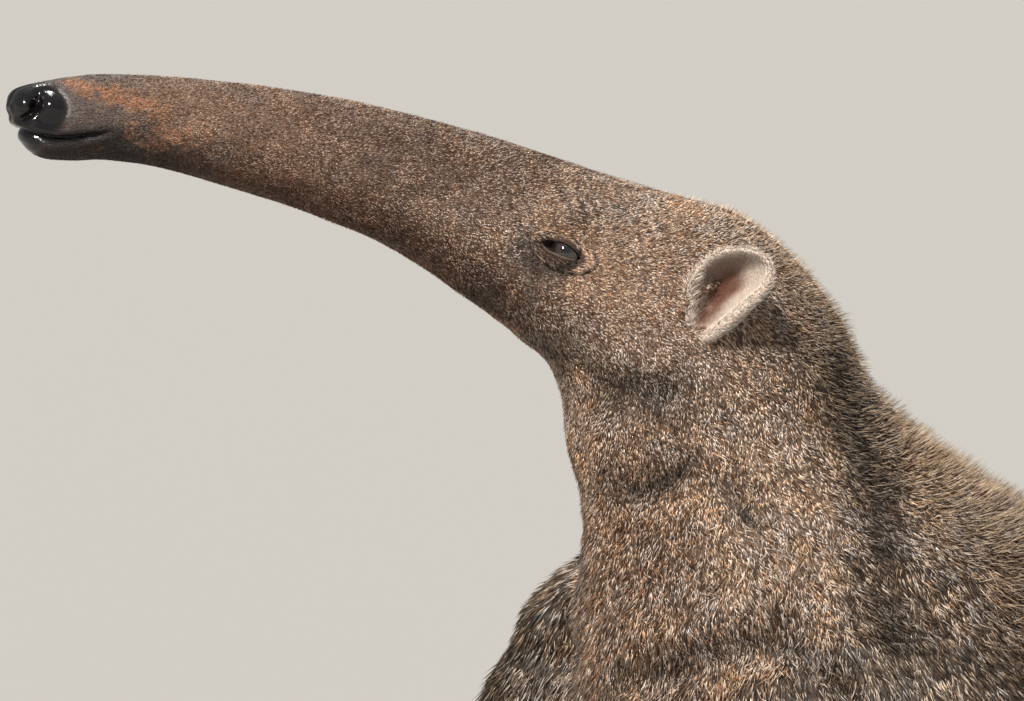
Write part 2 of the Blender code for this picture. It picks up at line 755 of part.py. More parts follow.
def fore_fingers(name):
    """Root place and heading of each long claw of a forefoot, and its sizes."""
    mirror = 1 if name.endswith("left") else -1
    found = []
    for claw in FORE_CLAWS:
        place = mirrored(claw.place, mirror) + Vector((0, STRIDE[name], 0))
        found.append((place, mirrored(claw.heading, mirror).normalized(), claw))
    return found


def make_claw(name, place, heading, length, radius, curl, bend_to, grow=0.0):
    """A curved, tapered claw whose root face stands off its toe by the gap."""
    side = heading.cross(bend_to).normalized()
    count = 5
    at = place + heading * (GAP - grow * 0.5)
    rings = []
    for i in range(count):
        share = i / count
        up = side.cross(heading).normalized()
        size = radius * (1 - 0.85 * share**1.4)
        rings.append((at, side, up, size * 0.72 + grow * 1.3, size + grow * 1.3))
        heading = (heading + bend_to * curl / count).normalized()
        at = at + heading * length / count
    return loft(name, rings, CLAW_SIDES, tip=at + heading * grow * 6)


def fore_claws(name, grow=0.0):
    """The long claws of a forefoot, which fold in under the palm."""
    mirror = 1 if name.endswith("left") else -1
    made = []
    for i, (place, heading, claw) in enumerate(fore_fingers(name), 1):
        sizes = (claw.length, claw.radius, claw.curl)
        bend_to = Vector((mirror * 0.8, 0.6, 0))
        title = f"claw_fore_{name.split('_')[1]}_{i}"
        made.append(make_claw(title, place, heading, *sizes, bend_to, grow))
    return made


def make_leg(name, rand):
    """A leg with its foot and toes, cut level at the floor and to the trunk."""
    mirror = 1 if name.endswith("left") else -1
    leg = loft(name, leg_rings(name), LIMB_SIDES)
    if name.startswith("hind_leg"):
        foot = limb_rings(HIND_FOOT, 7, mirror, foot_shift(name))
        pieces = [loft("foot", foot, LIMB_SIDES)]
        for place, heading in hind_toes(name):
            pieces.append(toe(place, heading, HIND_TOE_LENGTH, HIND_TOE_RADIUS))
        boolean(leg, "UNION", pieces)
        low, high = mirrored(THIGH_BLOCK_LOW, mirror), mirrored(THIGH_BLOCK_HIGH, mirror)
    else:
        pieces = []
        for place, heading, claw in fore_fingers(name):
            root = place - heading * FINGER_LENGTH
            pieces.append(toe(root, heading, FINGER_LENGTH, claw.radius / 0.72 * 1.05))
        boolean(leg, "UNION", pieces)
        boolean(leg, "DIFFERENCE", fore_claws(name, GAP))
        low, high = Vector((-1, -1, -1)), Vector((1, 1, FORELEG_LOCK_TOP))
    coat = joined(leg_locks(name, rand), "coat")
    boolean(coat, "INTERSECT", [box("block", low, high)])
    boolean(leg, "UNION", [coat])
    under_floor = box("floor", Vector((-1, -2, -1)), Vector((1, 2, 0)))
    for cutter in (under_floor, neck_form(GAP, -GAP), torso_form(GAP, -GAP), tail_form(GAP, -GAP)):
        boolean(leg, "DIFFERENCE", [cutter])
    return keep_largest(leg)


def centre_on_floor(objects):
    """Moves all the pieces so that the middle of their box stands over the origin."""
    low = [min(v.co[axis] for o in objects for v in o.data.vertices) for axis in range(3)]
    high = [max(v.co[axis] for o in objects for v in o.data.vertices) for axis in range(3)]
    move = Vector((-(low[0] + high[0]) / 2, -(low[1] + high[1]) / 2, -low[2]))
    for obj in objects:
        obj.data.transform(Matrix.Translation(move))
    return move


def main():
    clear_scene()
    rand = random.Random(SEED)
    short_coat = material("short_coat", (0.33, 0.25, 0.19), 0.85)
    long_coat = material("long_coat", (0.16, 0.115, 0.085), 0.85)
    pale_coat = material("pale_coat", (0.55, 0.50, 0.44), 0.85)
    dark_coat = material("dark_coat", (0.09, 0.065, 0.05), 0.85)
    horn = material("claw_horn", (0.12, 0.10, 0.085), 0.45)
    eyeball = material("eye", (0.015, 0.01, 0.01), 0.08)

    nodes = [paint(make_head(), short_coat)]
    nodes.append(paint(make_neck(), short_coat))
    nodes.append(paint(make_torso(rand), long_coat))
    nodes.append(paint(make_tail(rand), long_coat))
    for side, mirror in (("left", 1), ("right", -1)):
        nodes.append(paint(make_eye(f"eye_{side}", mirror), eyeball))
        nodes.append(paint(make_ear(f"ear_{side}", mirror), short_coat))
        fore, hind = f"foreleg_{side}", f"hind_leg_{side}"
        nodes.append(paint(make_leg(fore, rand), pale_coat))
        nodes.append(paint(make_leg(hind, rand), dark_coat))
        for claw in fore_claws(fore):
            nodes.append(paint(claw, horn))
        for i, (place, heading) in enumerate(hind_toes(hind), 1):
            made = make_claw(
                f"claw_hind_{side}_{i}",
                place + heading * HIND_TOE_LENGTH,
                heading,
                HIND_CLAW_LENGTH,
                HIND_CLAW_RADIUS,
                0.35,
                Vector((0, 0, -1)),
            )
            nodes.append(paint(made, horn))
    centre_on_floor(nodes)


main()
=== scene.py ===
"""Giant anteater: the skin, coat, eyes, lids, ears and claws of a still, life-size model.

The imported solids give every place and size. One skin lies inside them by the depth of the
coat, and the coat grows from the skin as tufts of solid mesh that follow its lie. Places in
this file are those of the part's own source, in metres: the nose faces -Y, the animal's left
side is +X and the soles stand on z = 0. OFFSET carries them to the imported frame.
"""

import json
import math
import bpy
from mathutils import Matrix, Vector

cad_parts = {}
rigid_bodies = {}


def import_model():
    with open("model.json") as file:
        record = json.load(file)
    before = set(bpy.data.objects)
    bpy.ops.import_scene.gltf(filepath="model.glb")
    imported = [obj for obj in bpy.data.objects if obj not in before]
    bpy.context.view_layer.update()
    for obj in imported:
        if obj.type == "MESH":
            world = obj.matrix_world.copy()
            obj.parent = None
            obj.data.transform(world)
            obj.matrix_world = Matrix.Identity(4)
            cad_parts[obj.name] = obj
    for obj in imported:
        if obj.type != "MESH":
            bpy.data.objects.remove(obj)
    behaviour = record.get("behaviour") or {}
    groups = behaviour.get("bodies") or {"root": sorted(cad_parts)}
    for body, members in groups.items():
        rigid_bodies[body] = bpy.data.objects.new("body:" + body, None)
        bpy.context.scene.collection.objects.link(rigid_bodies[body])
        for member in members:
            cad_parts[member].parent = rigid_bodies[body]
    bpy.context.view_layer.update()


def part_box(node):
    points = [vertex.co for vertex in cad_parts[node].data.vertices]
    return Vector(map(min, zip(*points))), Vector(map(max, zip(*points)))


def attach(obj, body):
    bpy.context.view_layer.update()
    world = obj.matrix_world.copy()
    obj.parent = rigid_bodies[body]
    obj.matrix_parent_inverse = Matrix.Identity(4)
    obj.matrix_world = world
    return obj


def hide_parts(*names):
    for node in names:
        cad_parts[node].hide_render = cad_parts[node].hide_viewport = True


bl_info = {
    "name": "Giant Anteater",
    "version": (1, 0, 0),
    "blender": (4, 5, 0),
    "location": "3D View > Sidebar > Anteater",
    "description": "Dresses the packed anteater in skin, coat, eyes, lids, ears and claws",
    "category": "Object",
}

from collections import namedtuple

import bmesh
import bpy
import numpy as np
from bpy.props import FloatProperty, FloatVectorProperty, IntProperty, PointerProperty
from mathutils import Matrix, Vector
from mathutils.bvhtree import BVHTree
from mathutils.kdtree import KDTree

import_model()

# Eyes
EYE_PLACE = np.array((0.0392, -0.1790, 0.7060))
EYE_FACING = np.array((0.93, -0.28, 0.20))
EYEBALL_SHIFT = np.array((-0.0027, 0.0014, 0.0014))
LID_PLACE = np.array((0.0392, -0.1803, 0.7086))
LID_HALF_LENGTH = 0.0094
LID_HALF_HEIGHTS = (0.0030, 0.0026)


def node_middle(node):
    low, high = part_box(node)
    return np.array((low + high) / 2)


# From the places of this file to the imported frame
OFFSET = (node_middle("eye_left") + node_middle("eye_right")) / 2 - EYE_PLACE * (0, 1, 1)

# Sections of the trunk: below (y, z), above (y, z), half the width, and the coat's depth
TRUNK = np.array(
    (
        (-0.4318, 0.7745, -0.4318, 0.7815, 0.0050, 0.0000),  # front of the nose
        (-0.4292, 0.7690, -0.4290, 0.7862, 0.0105, 0.0000),
        (-0.4240, 0.7610, -0.4232, 0.7889, 0.0132, 0.0002),  # lips
        (-0.4160, 0.7562, -0.4150, 0.7902, 0.0146, 0.0003),  # nostrils
        (-0.4035, 0.7547, -0.4025, 0.7918, 0.0156, 0.0004),
        (-0.3885, 0.7532, -0.3875, 0.7926, 0.0166, 0.0005),  # corner of the mouth
        (-0.3630, 0.7490, -0.3585, 0.7908, 0.0180, 0.0006),
        (-0.3280, 0.7385, -0.3165, 0.7860, 0.0205, 0.0008),
        (-0.2890, 0.7250, -0.2725, 0.7783, 0.0235, 0.0010),
        (-0.2500, 0.7078, -0.2305, 0.7680, 0.0280, 0.0013),
        (-0.2130, 0.6835, -0.1865, 0.7548, 0.0345, 0.0016),
        (-0.1860, 0.6630, -0.1475, 0.7415, 0.0430, 0.0020),  # eyes
        (-0.1710, 0.6500, -0.1130, 0.7308, 0.0500, 0.0025),  # cheeks
        (-0.1640, 0.6350, -0.0770, 0.7195, 0.0545, 0.0030),  # ears
        (-0.1590, 0.6165, -0.0480, 0.6965, 0.0575, 0.0040),
        (-0.1565, 0.5980, -0.0265, 0.6690, 0.0610, 0.0050),  # nape
        (-0.1565, 0.5795, -0.0120, 0.6420, 0.0670, 0.0065),
        (-0.1575, 0.5610, 0.0060, 0.6235, 0.0780, 0.0080),  # foot of the neck
        (-0.1595, 0.5380, 0.0310, 0.6060, 0.0940, 0.0095),
        (-0.1620, 0.5020, 0.0570, 0.5880, 0.1120, 0.0110),  # withers
        (-0.1560, 0.4400, 0.0860, 0.5730, 0.1260, 0.0130),  # shoulders
        (-0.1080, 0.3540, 0.1330, 0.5620, 0.1350, 0.0150),
        (0.0200, 0.2940, 0.1950, 0.5540, 0.1400, 0.0170),  # ribs
        (0.1600, 0.2740, 0.2750, 0.5470, 0.1430, 0.0190),
        (0.2900, 0.2720, 0.3700, 0.5370, 0.1380, 0.0200),
        (0.4100, 0.2860, 0.4600, 0.5220, 0.1240, 0.0200),
        (0.5100, 0.3160, 0.5350, 0.4980, 0.0960, 0.0180),  # rump
        (0.5850, 0.3560, 0.6000, 0.4620, 0.0600, 0.0120),  # root of the tail
        (0.6700, 0.3460, 0.6850, 0.4200, 0.0400, 0.0000),
        (0.7900, 0.3160, 0.8000, 0.3760, 0.0310, 0.0000),
        (0.9500, 0.2900, 0.9560, 0.3380, 0.0250, 0.0000),
        (1.1200, 0.2780, 1.1220, 0.3140, 0.0190, 0.0000),
        (1.2700, 0.2820, 1.2700, 0.3040, 0.0110, 0.0000),  # end of the tail's flesh
    )
)
TRUNK_END = len(TRUNK) - 1

# Limbs: place (x, y, z), half-sizes across and fore and aft, and the coat's depth
FORELEG = np.array(
    (
        (0.076, -0.030, 0.555, 0.030, 0.048, 0.010),
        (0.088, -0.044, 0.490, 0.056, 0.088, 0.010),  # shoulder
        (0.102, -0.030, 0.410, 0.064, 0.090, 0.010),
        (0.112, -0.002, 0.330, 0.058, 0.074, 0.009),  # elbow
        (0.114, 0.000, 0.255, 0.051, 0.060, 0.008),
        (0.110, -0.010, 0.185, 0.047, 0.053, 0.007),
        (0.104, -0.022, 0.120, 0.042, 0.047, 0.005),
        (0.100, -0.034, 0.070, 0.041, 0.046, 0.003),  # wrist
        (0.097, -0.044, 0.030, 0.042, 0.048, 0.002),  # fist
        (0.096, -0.048, -0.010, 0.036, 0.042, 0.002),
    )
)
HIND_LEG = np.array(
    (
        (0.060, 0.470, 0.450, 0.040, 0.066, 0.010),  # hip
        (0.082, 0.452, 0.385, 0.064, 0.102, 0.011),
        (0.098, 0.432, 0.310, 0.068, 0.102, 0.011),
        (0.108, 0.424, 0.235, 0.058, 0.080, 0.009),  # knee
        (0.109, 0.444, 0.165, 0.048, 0.058, 0.007),
        (0.107, 0.466, 0.110, 0.041, 0.047, 0.005),
        (0.105, 0.478, 0.060, 0.038, 0.043, 0.003),  # ankle
        (0.105, 0.482, 0.020, 0.036, 0.040, 0.002),
        (0.105, 0.482, -0.010, 0.031, 0.034, 0.002),
    )
)
HIND_FOOT = np.array(
    (
        (0.105, 0.505, 0.024, 0.024, 0.024, 0.002),
        (0.105, 0.480, 0.026, 0.034, 0.032, 0.002),
        (0.108, 0.430, 0.024, 0.039, 0.030, 0.002),
        (0.112, 0.388, 0.017, 0.041, 0.022, 0.001),
        (0.113, 0.368, 0.013, 0.036, 0.015, 0.001),  # ball of the toes
    )
)
LEGS = ("foreleg_left", "foreleg_right", "hind_leg_left", "hind_leg_right")
STRIDE = {
    "foreleg_left": 0.020,
    "foreleg_right": -0.105,
    "hind_leg_left": -0.045,
    "hind_leg_right": 0.040,
}
STRIDE_HEIGHTS = {"foreleg": (0.300, 0.600), "hind_leg": (0.060, 0.450)}

# Long claws of a forefoot: place, heading, length, radius at the root and curl
Claw = namedtuple("Claw", "place heading length radius curl")
FORE_CLAWS = (
    Claw((0.064, -0.044, 0.052), (-0.30, 0.95, -0.10), 0.042, 0.0060, 0.55),
    Claw((0.061, -0.052, 0.032), (-0.34, 0.94, -0.06), 0.062, 0.0078, 0.60),
    Claw((0.066, -0.050, 0.013), (-0.34, 0.94, 0.00), 0.028, 0.0048, 0.50),
)
FINGER_LENGTH = 0.010
HIND_CLAW = Claw((0.113, 0.368, 0.0108), (0.10, -1.0, -0.05), 0.024, 0.0052, 0.35)
CLAW_SIDES = 20
CLAW_STEPS = 18
TOE_SPREAD = 0.0155
TOE_LENGTH = 0.020
TOE_RADIUS = 0.0086
# Share of the length from the middle of a toe, and of its radius
TOE_RINGS = ((-1.0, 1.0), (-0.4, 0.98), (0.1, 0.92), (0.45, 1.06), (0.8, 0.95), (1.0, 0.70))
# Knuckles of the fist that the animal walks on: off its middle, height and radius
KNUCKLES = ((-0.021, 0.024, 0.0150), (0.001, 0.021, 0.0160), (0.022, 0.019, 0.0140))
KNUCKLE_LENGTH = 0.0290

# Lines in (y, z) on the side of the animal
MOUTH_LINE = (
    *((-0.4400, 0.7710), (-0.4318, 0.7698), (-0.4262, 0.7671), (-0.4140, 0.7647)),
    *((-0.4035, 0.7652), (-0.3930, 0.7664), (-0.3850, 0.7678)),
)
JAW_LINE = ((-0.2188, 0.6860), (-0.1889, 0.6668), (-0.1725, 0.6590), (-0.1595, 0.6550), (-0.1372, 0.6535))
NOSTRIL_LINE = ((-0.4214, 0.7837), (-0.4239, 0.7796), (-0.4262, 0.7763), (-0.4302, 0.7731))
NECK_SHADE = ((-0.0374, 0.6448), (-0.0320, 0.6148), (-0.0335, 0.5832), (-0.0430, 0.5337))
THROAT_FOLD = ((-0.178, 0.597), (-0.167, 0.5914), (-0.150, 0.592), (-0.134, 0.5986), (-0.1205, 0.608))
NECK_FOLD = ((-0.107, 0.600), (-0.098, 0.5865))
CHEST_FOLD = ((-0.1816, 0.534), (-0.160, 0.510), (-0.131, 0.5226), (-0.108, 0.534))
CHEST_SHADE = ((-0.148, 0.5103), (-0.0937, 0.5384), (-0.0684, 0.5099))
BREAST_FOLD = ((-0.170, 0.568), (-0.1724, 0.541), (-0.177, 0.508))
SOIL_STREAKS = (
    ((-0.4020, 0.7880), (-0.3900, 0.7850), (-0.3760, 0.7795), (-0.3640, 0.7765)),
    ((-0.3760, 0.7660), (-0.3600, 0.7640), (-0.3460, 0.7640)),
)

# Marks on the side of the animal: strength, a spot or a line in (y, z), spread, and the stretch
# of a spot or the shift of a line. First the relief of the neck, in metres.
NECK_FORMS = (
    (0.0030, (-0.128, 0.6480), 0.0100, (1.6, 1)),
    (-0.0044, THROAT_FOLD, 0.0050, (0, 0)),
    (-0.0042, NECK_FOLD, 0.0060, (0, 0)),
    (0.0030, (-0.088, 0.596), 0.0085, (1, 1)),
    (-0.0060, CHEST_SHADE, 0.0080, (0, 0)),
    (0.0034, CHEST_FOLD, 0.0080, (0, 0.010)),
    (-0.0045, BREAST_FOLD, 0.0070, (0, 0)),
    (-0.0050, NECK_SHADE, 0.0100, (0, 0)),
)
# Painted shade in the folds, under the jaw and behind the ear; painted light on the ridges beside them
PAINTED_SHADE_MARKS = (
    (0.98, JAW_LINE, 0.0105, (0.003, -0.011)),
    (0.95, THROAT_FOLD, 0.0045, (0, 0)),
    (0.75, (-0.166, 0.637), 0.0160, (0.9, 1)),
    (0.75, (-0.1355, 0.635), 0.0055, (1.5, 1)),
    (0.85, NECK_FOLD, 0.0055, (0, 0)),
    (0.75, CHEST_SHADE, 0.0070, (0, 0)),
    (0.65, BREAST_FOLD, 0.0055, (0, 0)),
    (0.96, NECK_SHADE, 0.0150, (-0.004, 0)),
    (0.45, (-0.066, 0.648), 0.0140, (1, 1.6)),  # behind the ear
    (0.36, (-0.149, 0.562), 0.0200, (1, 1)),  # breast
    (0.30, (-0.077, 0.558), 0.0160, (1, 1)),  # before the shoulder
)
# Painted shadow under the chin, where jaw meets throat
PAINTED_CHIN_SHADOW = ((0.85, (-0.176, 0.654), 0.0110, (1, 1)),)
# Painted light on the ridges beside the folds
PAINTED_RIDGE_LIGHT = (
    (0.8, (-0.125, 0.6440), 0.0130, (1.6, 1)),
    (0.7, (-0.136, 0.5185), 0.0090, (1.5, 1)),
    (0.7, (-0.088, 0.593), 0.0090, (1, 1)),
    (0.6, CHEST_FOLD, 0.0055, (0, 0.011)),
)

# The black band from the breast over the shoulder, between its two pale lines
UPPER_PALE_LINE = (
    *((-0.103, 0.600), (-0.090, 0.567), (-0.058, 0.522), (-0.010, 0.494)),
    *((0.060, 0.486), (0.150, 0.500), (0.250, 0.520), (0.330, 0.540)),
)
LOWER_PALE_LINE = ((0.330, 0.540), (0.200, 0.445), (0.080, 0.385), (-0.030, 0.358), (-0.140, 0.385))
BREAST_CORNERS = ((-0.300, 0.400), (-0.300, 0.590))

# Ears
EAR_ROOT = np.array((0.0480, -0.1193, 0.6684))
EAR_TIP = np.array((0.0790, -0.0934, 0.7043))
EAR_FACING = np.array((0.664, -0.747, -0.034))
# Its edge from the tip round its rear: along, across to the rear and out, and half its roll
EAR_EDGE = np.array(
    (
        (0.0535, -0.0030, 0.0010, 0.0009),
        (0.0513, 0.0037, 0.0005, 0.0011),
        (0.0440, 0.0076, 0.0000, 0.0018),
        (0.0303, 0.0076, 0.0000, 0.0024),
        (0.0150, 0.0070, 0.0008, 0.0026),
        (0.0060, 0.0058, 0.0015, 0.0024),
        (0.0015, 0.0023, 0.0020, 0.0018),
        (0.0015, -0.0025, 0.0025, 0.0014),
        (0.0062, -0.0090, 0.0035, 0.0012),
        (0.0123, -0.0135, 0.0040, 0.0012),
        (0.0175, -0.0172, 0.0040, 0.0012),
        (0.0277, -0.0200, 0.0035, 0.0012),
        (0.0390, -0.0178, 0.0030, 0.0011),
        (0.0490, -0.0110, 0.0020, 0.0010),
    )
)
EAR_CANAL = np.array((0.0165, -0.0088, -0.0105))
EAR_FOOT = (0.006, -0.004, -0.0125)
EAR_FOOT_RADIUS = 0.009
EAR_BELLY = 0.0080
EAR_SIDES = 84
# The hollow's lowest line: along the ear, and across it
EAR_FURROW = ((0.0300, -0.0090), (0.0060, -0.0030))

# Rings of the lids: spread, height, and how far each follows the skin instead of the eyeball
LID_RINGS = (
    (1.00, 0.0000, 0.0),
    (1.04, 0.0009, 0.0),
    (1.14, 0.0015, 0.0),
    (1.30, 0.0013, 0.1),
    (1.46, 0.0002, 0.25),
    (1.62, 0.0011, 0.4),
    (1.85, 0.0009, 0.6),
    (2.12, 0.0003, 0.8),
    (2.40, 0.0002, 0.95),
    (2.75, -0.0012, 1.0),
    (2.60, -0.0040, 1.0),
    (1.60, -0.0040, 0.5),
    (1.06, -0.0014, 0.0),
)
LID_SIDES = 96
HAIRY_LID_RINGS = 10

# The camera looks from here: degrees round the animal from its nose, degrees up, and its aim
CAMERA_TURN = (70, 6)
CAMERA_AIM = (0.0, -0.190, 0.659)

# What the operators that follow the skin's need of it
HIDE = {}


def tone(red, green, blue):
    """A colour of the working space from its screen values, 0 to 255."""
    found = []
    for value in (red, green, blue):
        share = value / 255
        found.append(share / 12.92 if share < 0.04045 else ((share + 0.055) / 1.055) ** 2.4)
    return tuple(found)


def colour_prop(name, screen, description):
    return FloatVectorProperty(
        name=name,
        description=description,
        subtype="COLOR",
        size=3,
        min=0.0,
        max=1.0,
        default=tone(*screen),
    )


def length_prop(name, default, description):
    return FloatProperty(name=name, description=description, default=default, unit="LENGTH")


def factor_prop(name, description):
    return FloatProperty(name=name, description=description, default=1.0, subtype="FACTOR")


class AnteaterSizes(bpy.types.PropertyGroup):
    """Sizes that a user would change."""

    eye_radius: length_prop("Eye radius", 0.0068, "Radius of the eyeball")
    body_cell: length_prop("Body cell", 0.008, "Cell of the grid that fuses trunk and legs into one skin")
    foot_cell: length_prop("Foot cell", 0.0032, "Cell of the grid that fuses each foot and its toes")
    coat_length: factor_prop("Coat length", "Factor on the length of every hair of the coat")
    coat_width: factor_prop("Coat width", "Factor on the width of every hair of the coat")
    seed: IntProperty(name="Seed", description="Seed of every random draw in the coat", default=11)
    camera_distance: length_prop("Camera distance", 6.5, "From the camera to the middle of the picture")
    picture_width: length_prop("Picture width", 0.471, "Width that the picture shows at that distance")


class AnteaterColours(bpy.types.PropertyGroup):
    """Colours of the coat's regions and of the bare parts."""

    muzzle: colour_prop("Muzzle", (150, 113, 88), "Short hair of the muzzle")
    muzzle_under: colour_prop("Underside of the muzzle", (126, 84, 56), "Lower muzzle and chin")
    nose: colour_prop("Nose", (16, 14, 15), "Wet skin of the nose and lips")
    soil: colour_prop("Soil", (168, 112, 74), "Dried soil rubbed into the front of the muzzle")
    cheek: colour_prop("Cheek", (228, 184, 152), "Cheeks and the side of the head")
    forehead: colour_prop("Forehead", (220, 182, 152), "Forehead and crown")
    neck: colour_prop("Neck", (220, 180, 148), "Side of the neck")
    nape: colour_prop("Nape", (92, 66, 46), "Roots of the hair on the nape and withers")
    throat: colour_prop("Throat", (172, 130, 100), "Throat")
    black: colour_prop("Black band", (40, 32, 27), "Band from the breast over the shoulder")
    pale: colour_prop("Pale lines", (200, 180, 152), "Lines along the black band, and pale tips")
    body: colour_prop("Body", (138, 112, 91), "Back, flanks and rump")
    foreleg: colour_prop("Foreleg", (176, 158, 136), "Forelegs above the wrist")
    hind_leg: colour_prop("Hind leg", (60, 47, 38), "Hind legs and feet")
    tail: colour_prop("Tail", (84, 65, 51), "Long hair of the tail")
    bare_skin: colour_prop("Bare skin", (66, 48, 40), "Skin round the eyes")
    ear_rim: colour_prop("Ear rim", (204, 187, 173), "Pale hair of the ear's edge and back")
    ear_hollow: colour_prop("Ear hollow", (96, 64, 50), "Bare inside of the ear")
    horn: colour_prop("Horn", (70, 58, 47), "Claws")
    floor: colour_prop("Floor", (154, 152, 148), "Floor")


def sizes():
    return bpy.context.scene.anteater_sizes


def colour(name):
    return np.array(getattr(bpy.context.scene.anteater_colours, name))


# Numbers and shapes


def curve(rows, t):
    """Numbers at places t of rows of numbers, on a smooth curve through the rows."""
    t = np.asarray(t, float)
    last = len(rows) - 1
    i = np.clip(t.astype(int), 0, last - 1)
    f = (t - i)[..., None]
    before, here = rows[np.maximum(i - 1, 0)], rows[i]
    there, after = rows[i + 1], rows[np.minimum(i + 2, last)]
    found = here * (1 + 2 * f) * (1 - f) ** 2 + (there - before) / 2 * f * (1 - f) ** 2
    return found + there * f * f * (3 - 2 * f) + (after - here) / 2 * f * f * (f - 1)


def unit(vectors):
    length = np.linalg.norm(vectors, axis=-1, keepdims=True)
    return vectors / np.maximum(length, 1e-12)


def dot(first, second):
    return np.sum(first * second, axis=-1, keepdims=True)


def bell(distance, spread):
    return np.exp(-0.5 * (distance / spread) ** 2)


def rise(value, low, high):
    """0 below low and 1 above high, with a smooth step between them."""
    share = np.clip((value - low) / (high - low), 0, 1)
    return share * share * (3 - 2 * share)


def steps(rows, value):
    """Linear steps through rows of (place, number)."""
    return np.interp(value, [r[0] for r in rows], [r[1] for r in rows])


def cloud(places, size):
    """Smooth random numbers, -1 to 1, that change over about the given size."""
    cells = places / size
    low = np.floor(cells).astype(np.int64)
    inside = cells - low
    inside = inside * inside * (3 - 2 * inside)
    found = np.zeros(len(places))
    for corner in np.ndindex(2, 2, 2):
        at = low + corner
        key = (at[:, 0] * 73856093) ^ (at[:, 1] * 19349663) ^ (at[:, 2] * 83492791)
        number = (key * 2654435761 % 4294967296) / 2147483648 - 1
        found += number * np.prod(np.where(corner, inside, 1 - inside), axis=1)
    return found


def line_distance(path, y, z):
    """Distance in the (y, z) plane from each place to a line of points."""
    found = np.full(np.shape(y), 1e9)
    for (ay, az), (by, bz) in zip(path, path[1:]):
        along_y, along_z = by - ay, bz - az
        share = (y - ay) * along_y + (z - az) * along_z
        share = np.clip(share / (along_y**2 + along_z**2), 0, 1)
        found = np.minimum(found, np.hypot(y - ay - share * along_y, z - az - share * along_z))
    return found


def marked(y, z, marks):
    """The strength of each mark at each place, fading away from its spot or line."""
    for strength, where, spread, change in marks:
        if np.ndim(where) > 1:
            away = line_distance(where, y - change[0], z - change[1])
        else:
            away = np.hypot((y - where[0]) / change[0], (z - where[1]) / change[1])
        yield strength * bell(away, spread)


def within(corners, y, z):
    """1 where the place is inside the closed outline in the (y, z) plane, otherwise 0."""
    inside = np.zeros(np.shape(y), bool)
    for (ay, az), (by, bz) in zip(corners, corners[1:] + corners[:1]):
        crosses = (az > z) != (bz > z)
        flat = by + (ay - by) * (z - bz) / (az - bz + 1e-12)
        inside ^= crosses & (y < flat)
    return inside


def trunk_points(t, angle):
    """Places on the skin of the trunk. The angle is 90 degrees at the back."""
    v = curve(TRUNK, t)
    below, above = v[..., 0:2], v[..., 2:4]
    centre, up = (below + above) / 2, above - below
    height = np.linalg.norm(up, axis=-1)
    up = up / height[..., None]
    half_width, half_height = v[..., 4] - v[..., 5], height / 2 - v[..., 5]
    high = half_height * np.sin(angle)
    x = half_width * np.cos(angle)
    return np.stack((x, centre[..., 0] + up[..., 0] * high, centre[..., 1] + up[..., 1] * high), -1)


def limb_points(rows, count, sides, mirror, shift):
    """Rings of places down a limb, each square to its path."""
    v = curve(rows, np.linspace(0, len(rows) - 1, count))
    places = v[:, :3] * (mirror, 1, 1)
    places[:, 1] += shift(places[:, 2])
    heading = unit(np.gradient(places, axis=0))
    side = unit(np.array((1.0, 0, 0)) - heading * heading[:, :1])
    up = np.cross(heading, side)
    angle = np.linspace(0, 2 * math.pi, sides, endpoint=False)[None, :, None]
    across, along = v[:, 3] - v[:, 5], v[:, 4] - v[:, 5]
    ring = side[:, None] * (across[:, None, None] * np.cos(angle))
    ring = ring + up[:, None] * (along[:, None, None] * np.sin(angle))
    return places[:, None] + ring, np.broadcast_to(heading[:, None], ring.shape)


def leg_shift(name):
    low, high = STRIDE_HEIGHTS[name.rsplit("_", 1)[0]]
    return lambda height: STRIDE[name] * np.clip((high - height) / (high - low), 0, 1)


def leg_points(name, count, sides):
    rows = FORELEG if name.startswith("foreleg") else HIND_LEG
    return limb_points(rows, count, sides, side_of(name), leg_shift(name))


def side_of(name):
    return 1 if "left" in name else -1


def tube(rings, closed=False):
    """A mesh through rings of places: circles bridged one to the next, then capped or joined."""
    mesh = bmesh.new()
    loops = []
    for places in rings:
        made = bmesh.ops.create_circle(mesh, segments=len(places), radius=1.0)
        for vert, place in zip(made["verts"], places):
            vert.co = place
        loops.append(list({edge for vert in made["verts"] for edge in vert.link_edges}))
    for first, second in zip(loops, loops[1:]):
        bmesh.ops.bridge_loops(mesh, edges=first + second)
    if closed:
        bmesh.ops.bridge_loops(mesh, edges=loops[-1] + loops[0])
    else:
        for edges in (loops[0], loops[-1]):
            bmesh.ops.contextual_create(mesh, geom=edges)
    bmesh.ops.recalc_face_normals(mesh, faces=mesh.faces)
    return mesh


def scratch(name, mesh):
    data = bpy.data.meshes.new(name)
    mesh.to_mesh(data)
    mesh.free()
    obj = bpy.data.objects.new(name, data)
    bpy.context.scene.collection.objects.link(obj)
    return obj


def dressed(obj, finish, replaced=()):
    """Gives a piece its finish, its smooth faces and its body, and hides the nodes that it stands for."""
    obj.data.materials.clear()
    obj.data.materials.append(finish)
    obj.data.shade_smooth()
    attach(obj, "root")
    if replaced:
        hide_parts(*replaced)


def vertex_numbers(obj, what):
    found = np.empty(len(obj.data.vertices) * 3, np.float32)
    obj.data.vertices.foreach_get(what, found)
    return found.reshape(-1, 3).astype(float)


def set_places(obj, places):
    obj.data.vertices.foreach_set("co", places.astype(np.float32).ravel())
    obj.data.update()


def surface(obj):
    """Places of an object's vertices and their outward directions."""
    return vertex_numbers(obj, "co"), vertex_numbers(obj, "normal")


def push(obj, relief):
    """Moves the vertices outwards by the relief at their places."""
    places, out = surface(obj)
    set_places(obj, places + out * relief(places)[:, None])


def edge_ends(obj):
    ends = np.empty(len(obj.data.edges) * 2, np.int32)
    obj.data.edges.foreach_get("vertices", ends)
    return ends.reshape(-1, 2).T


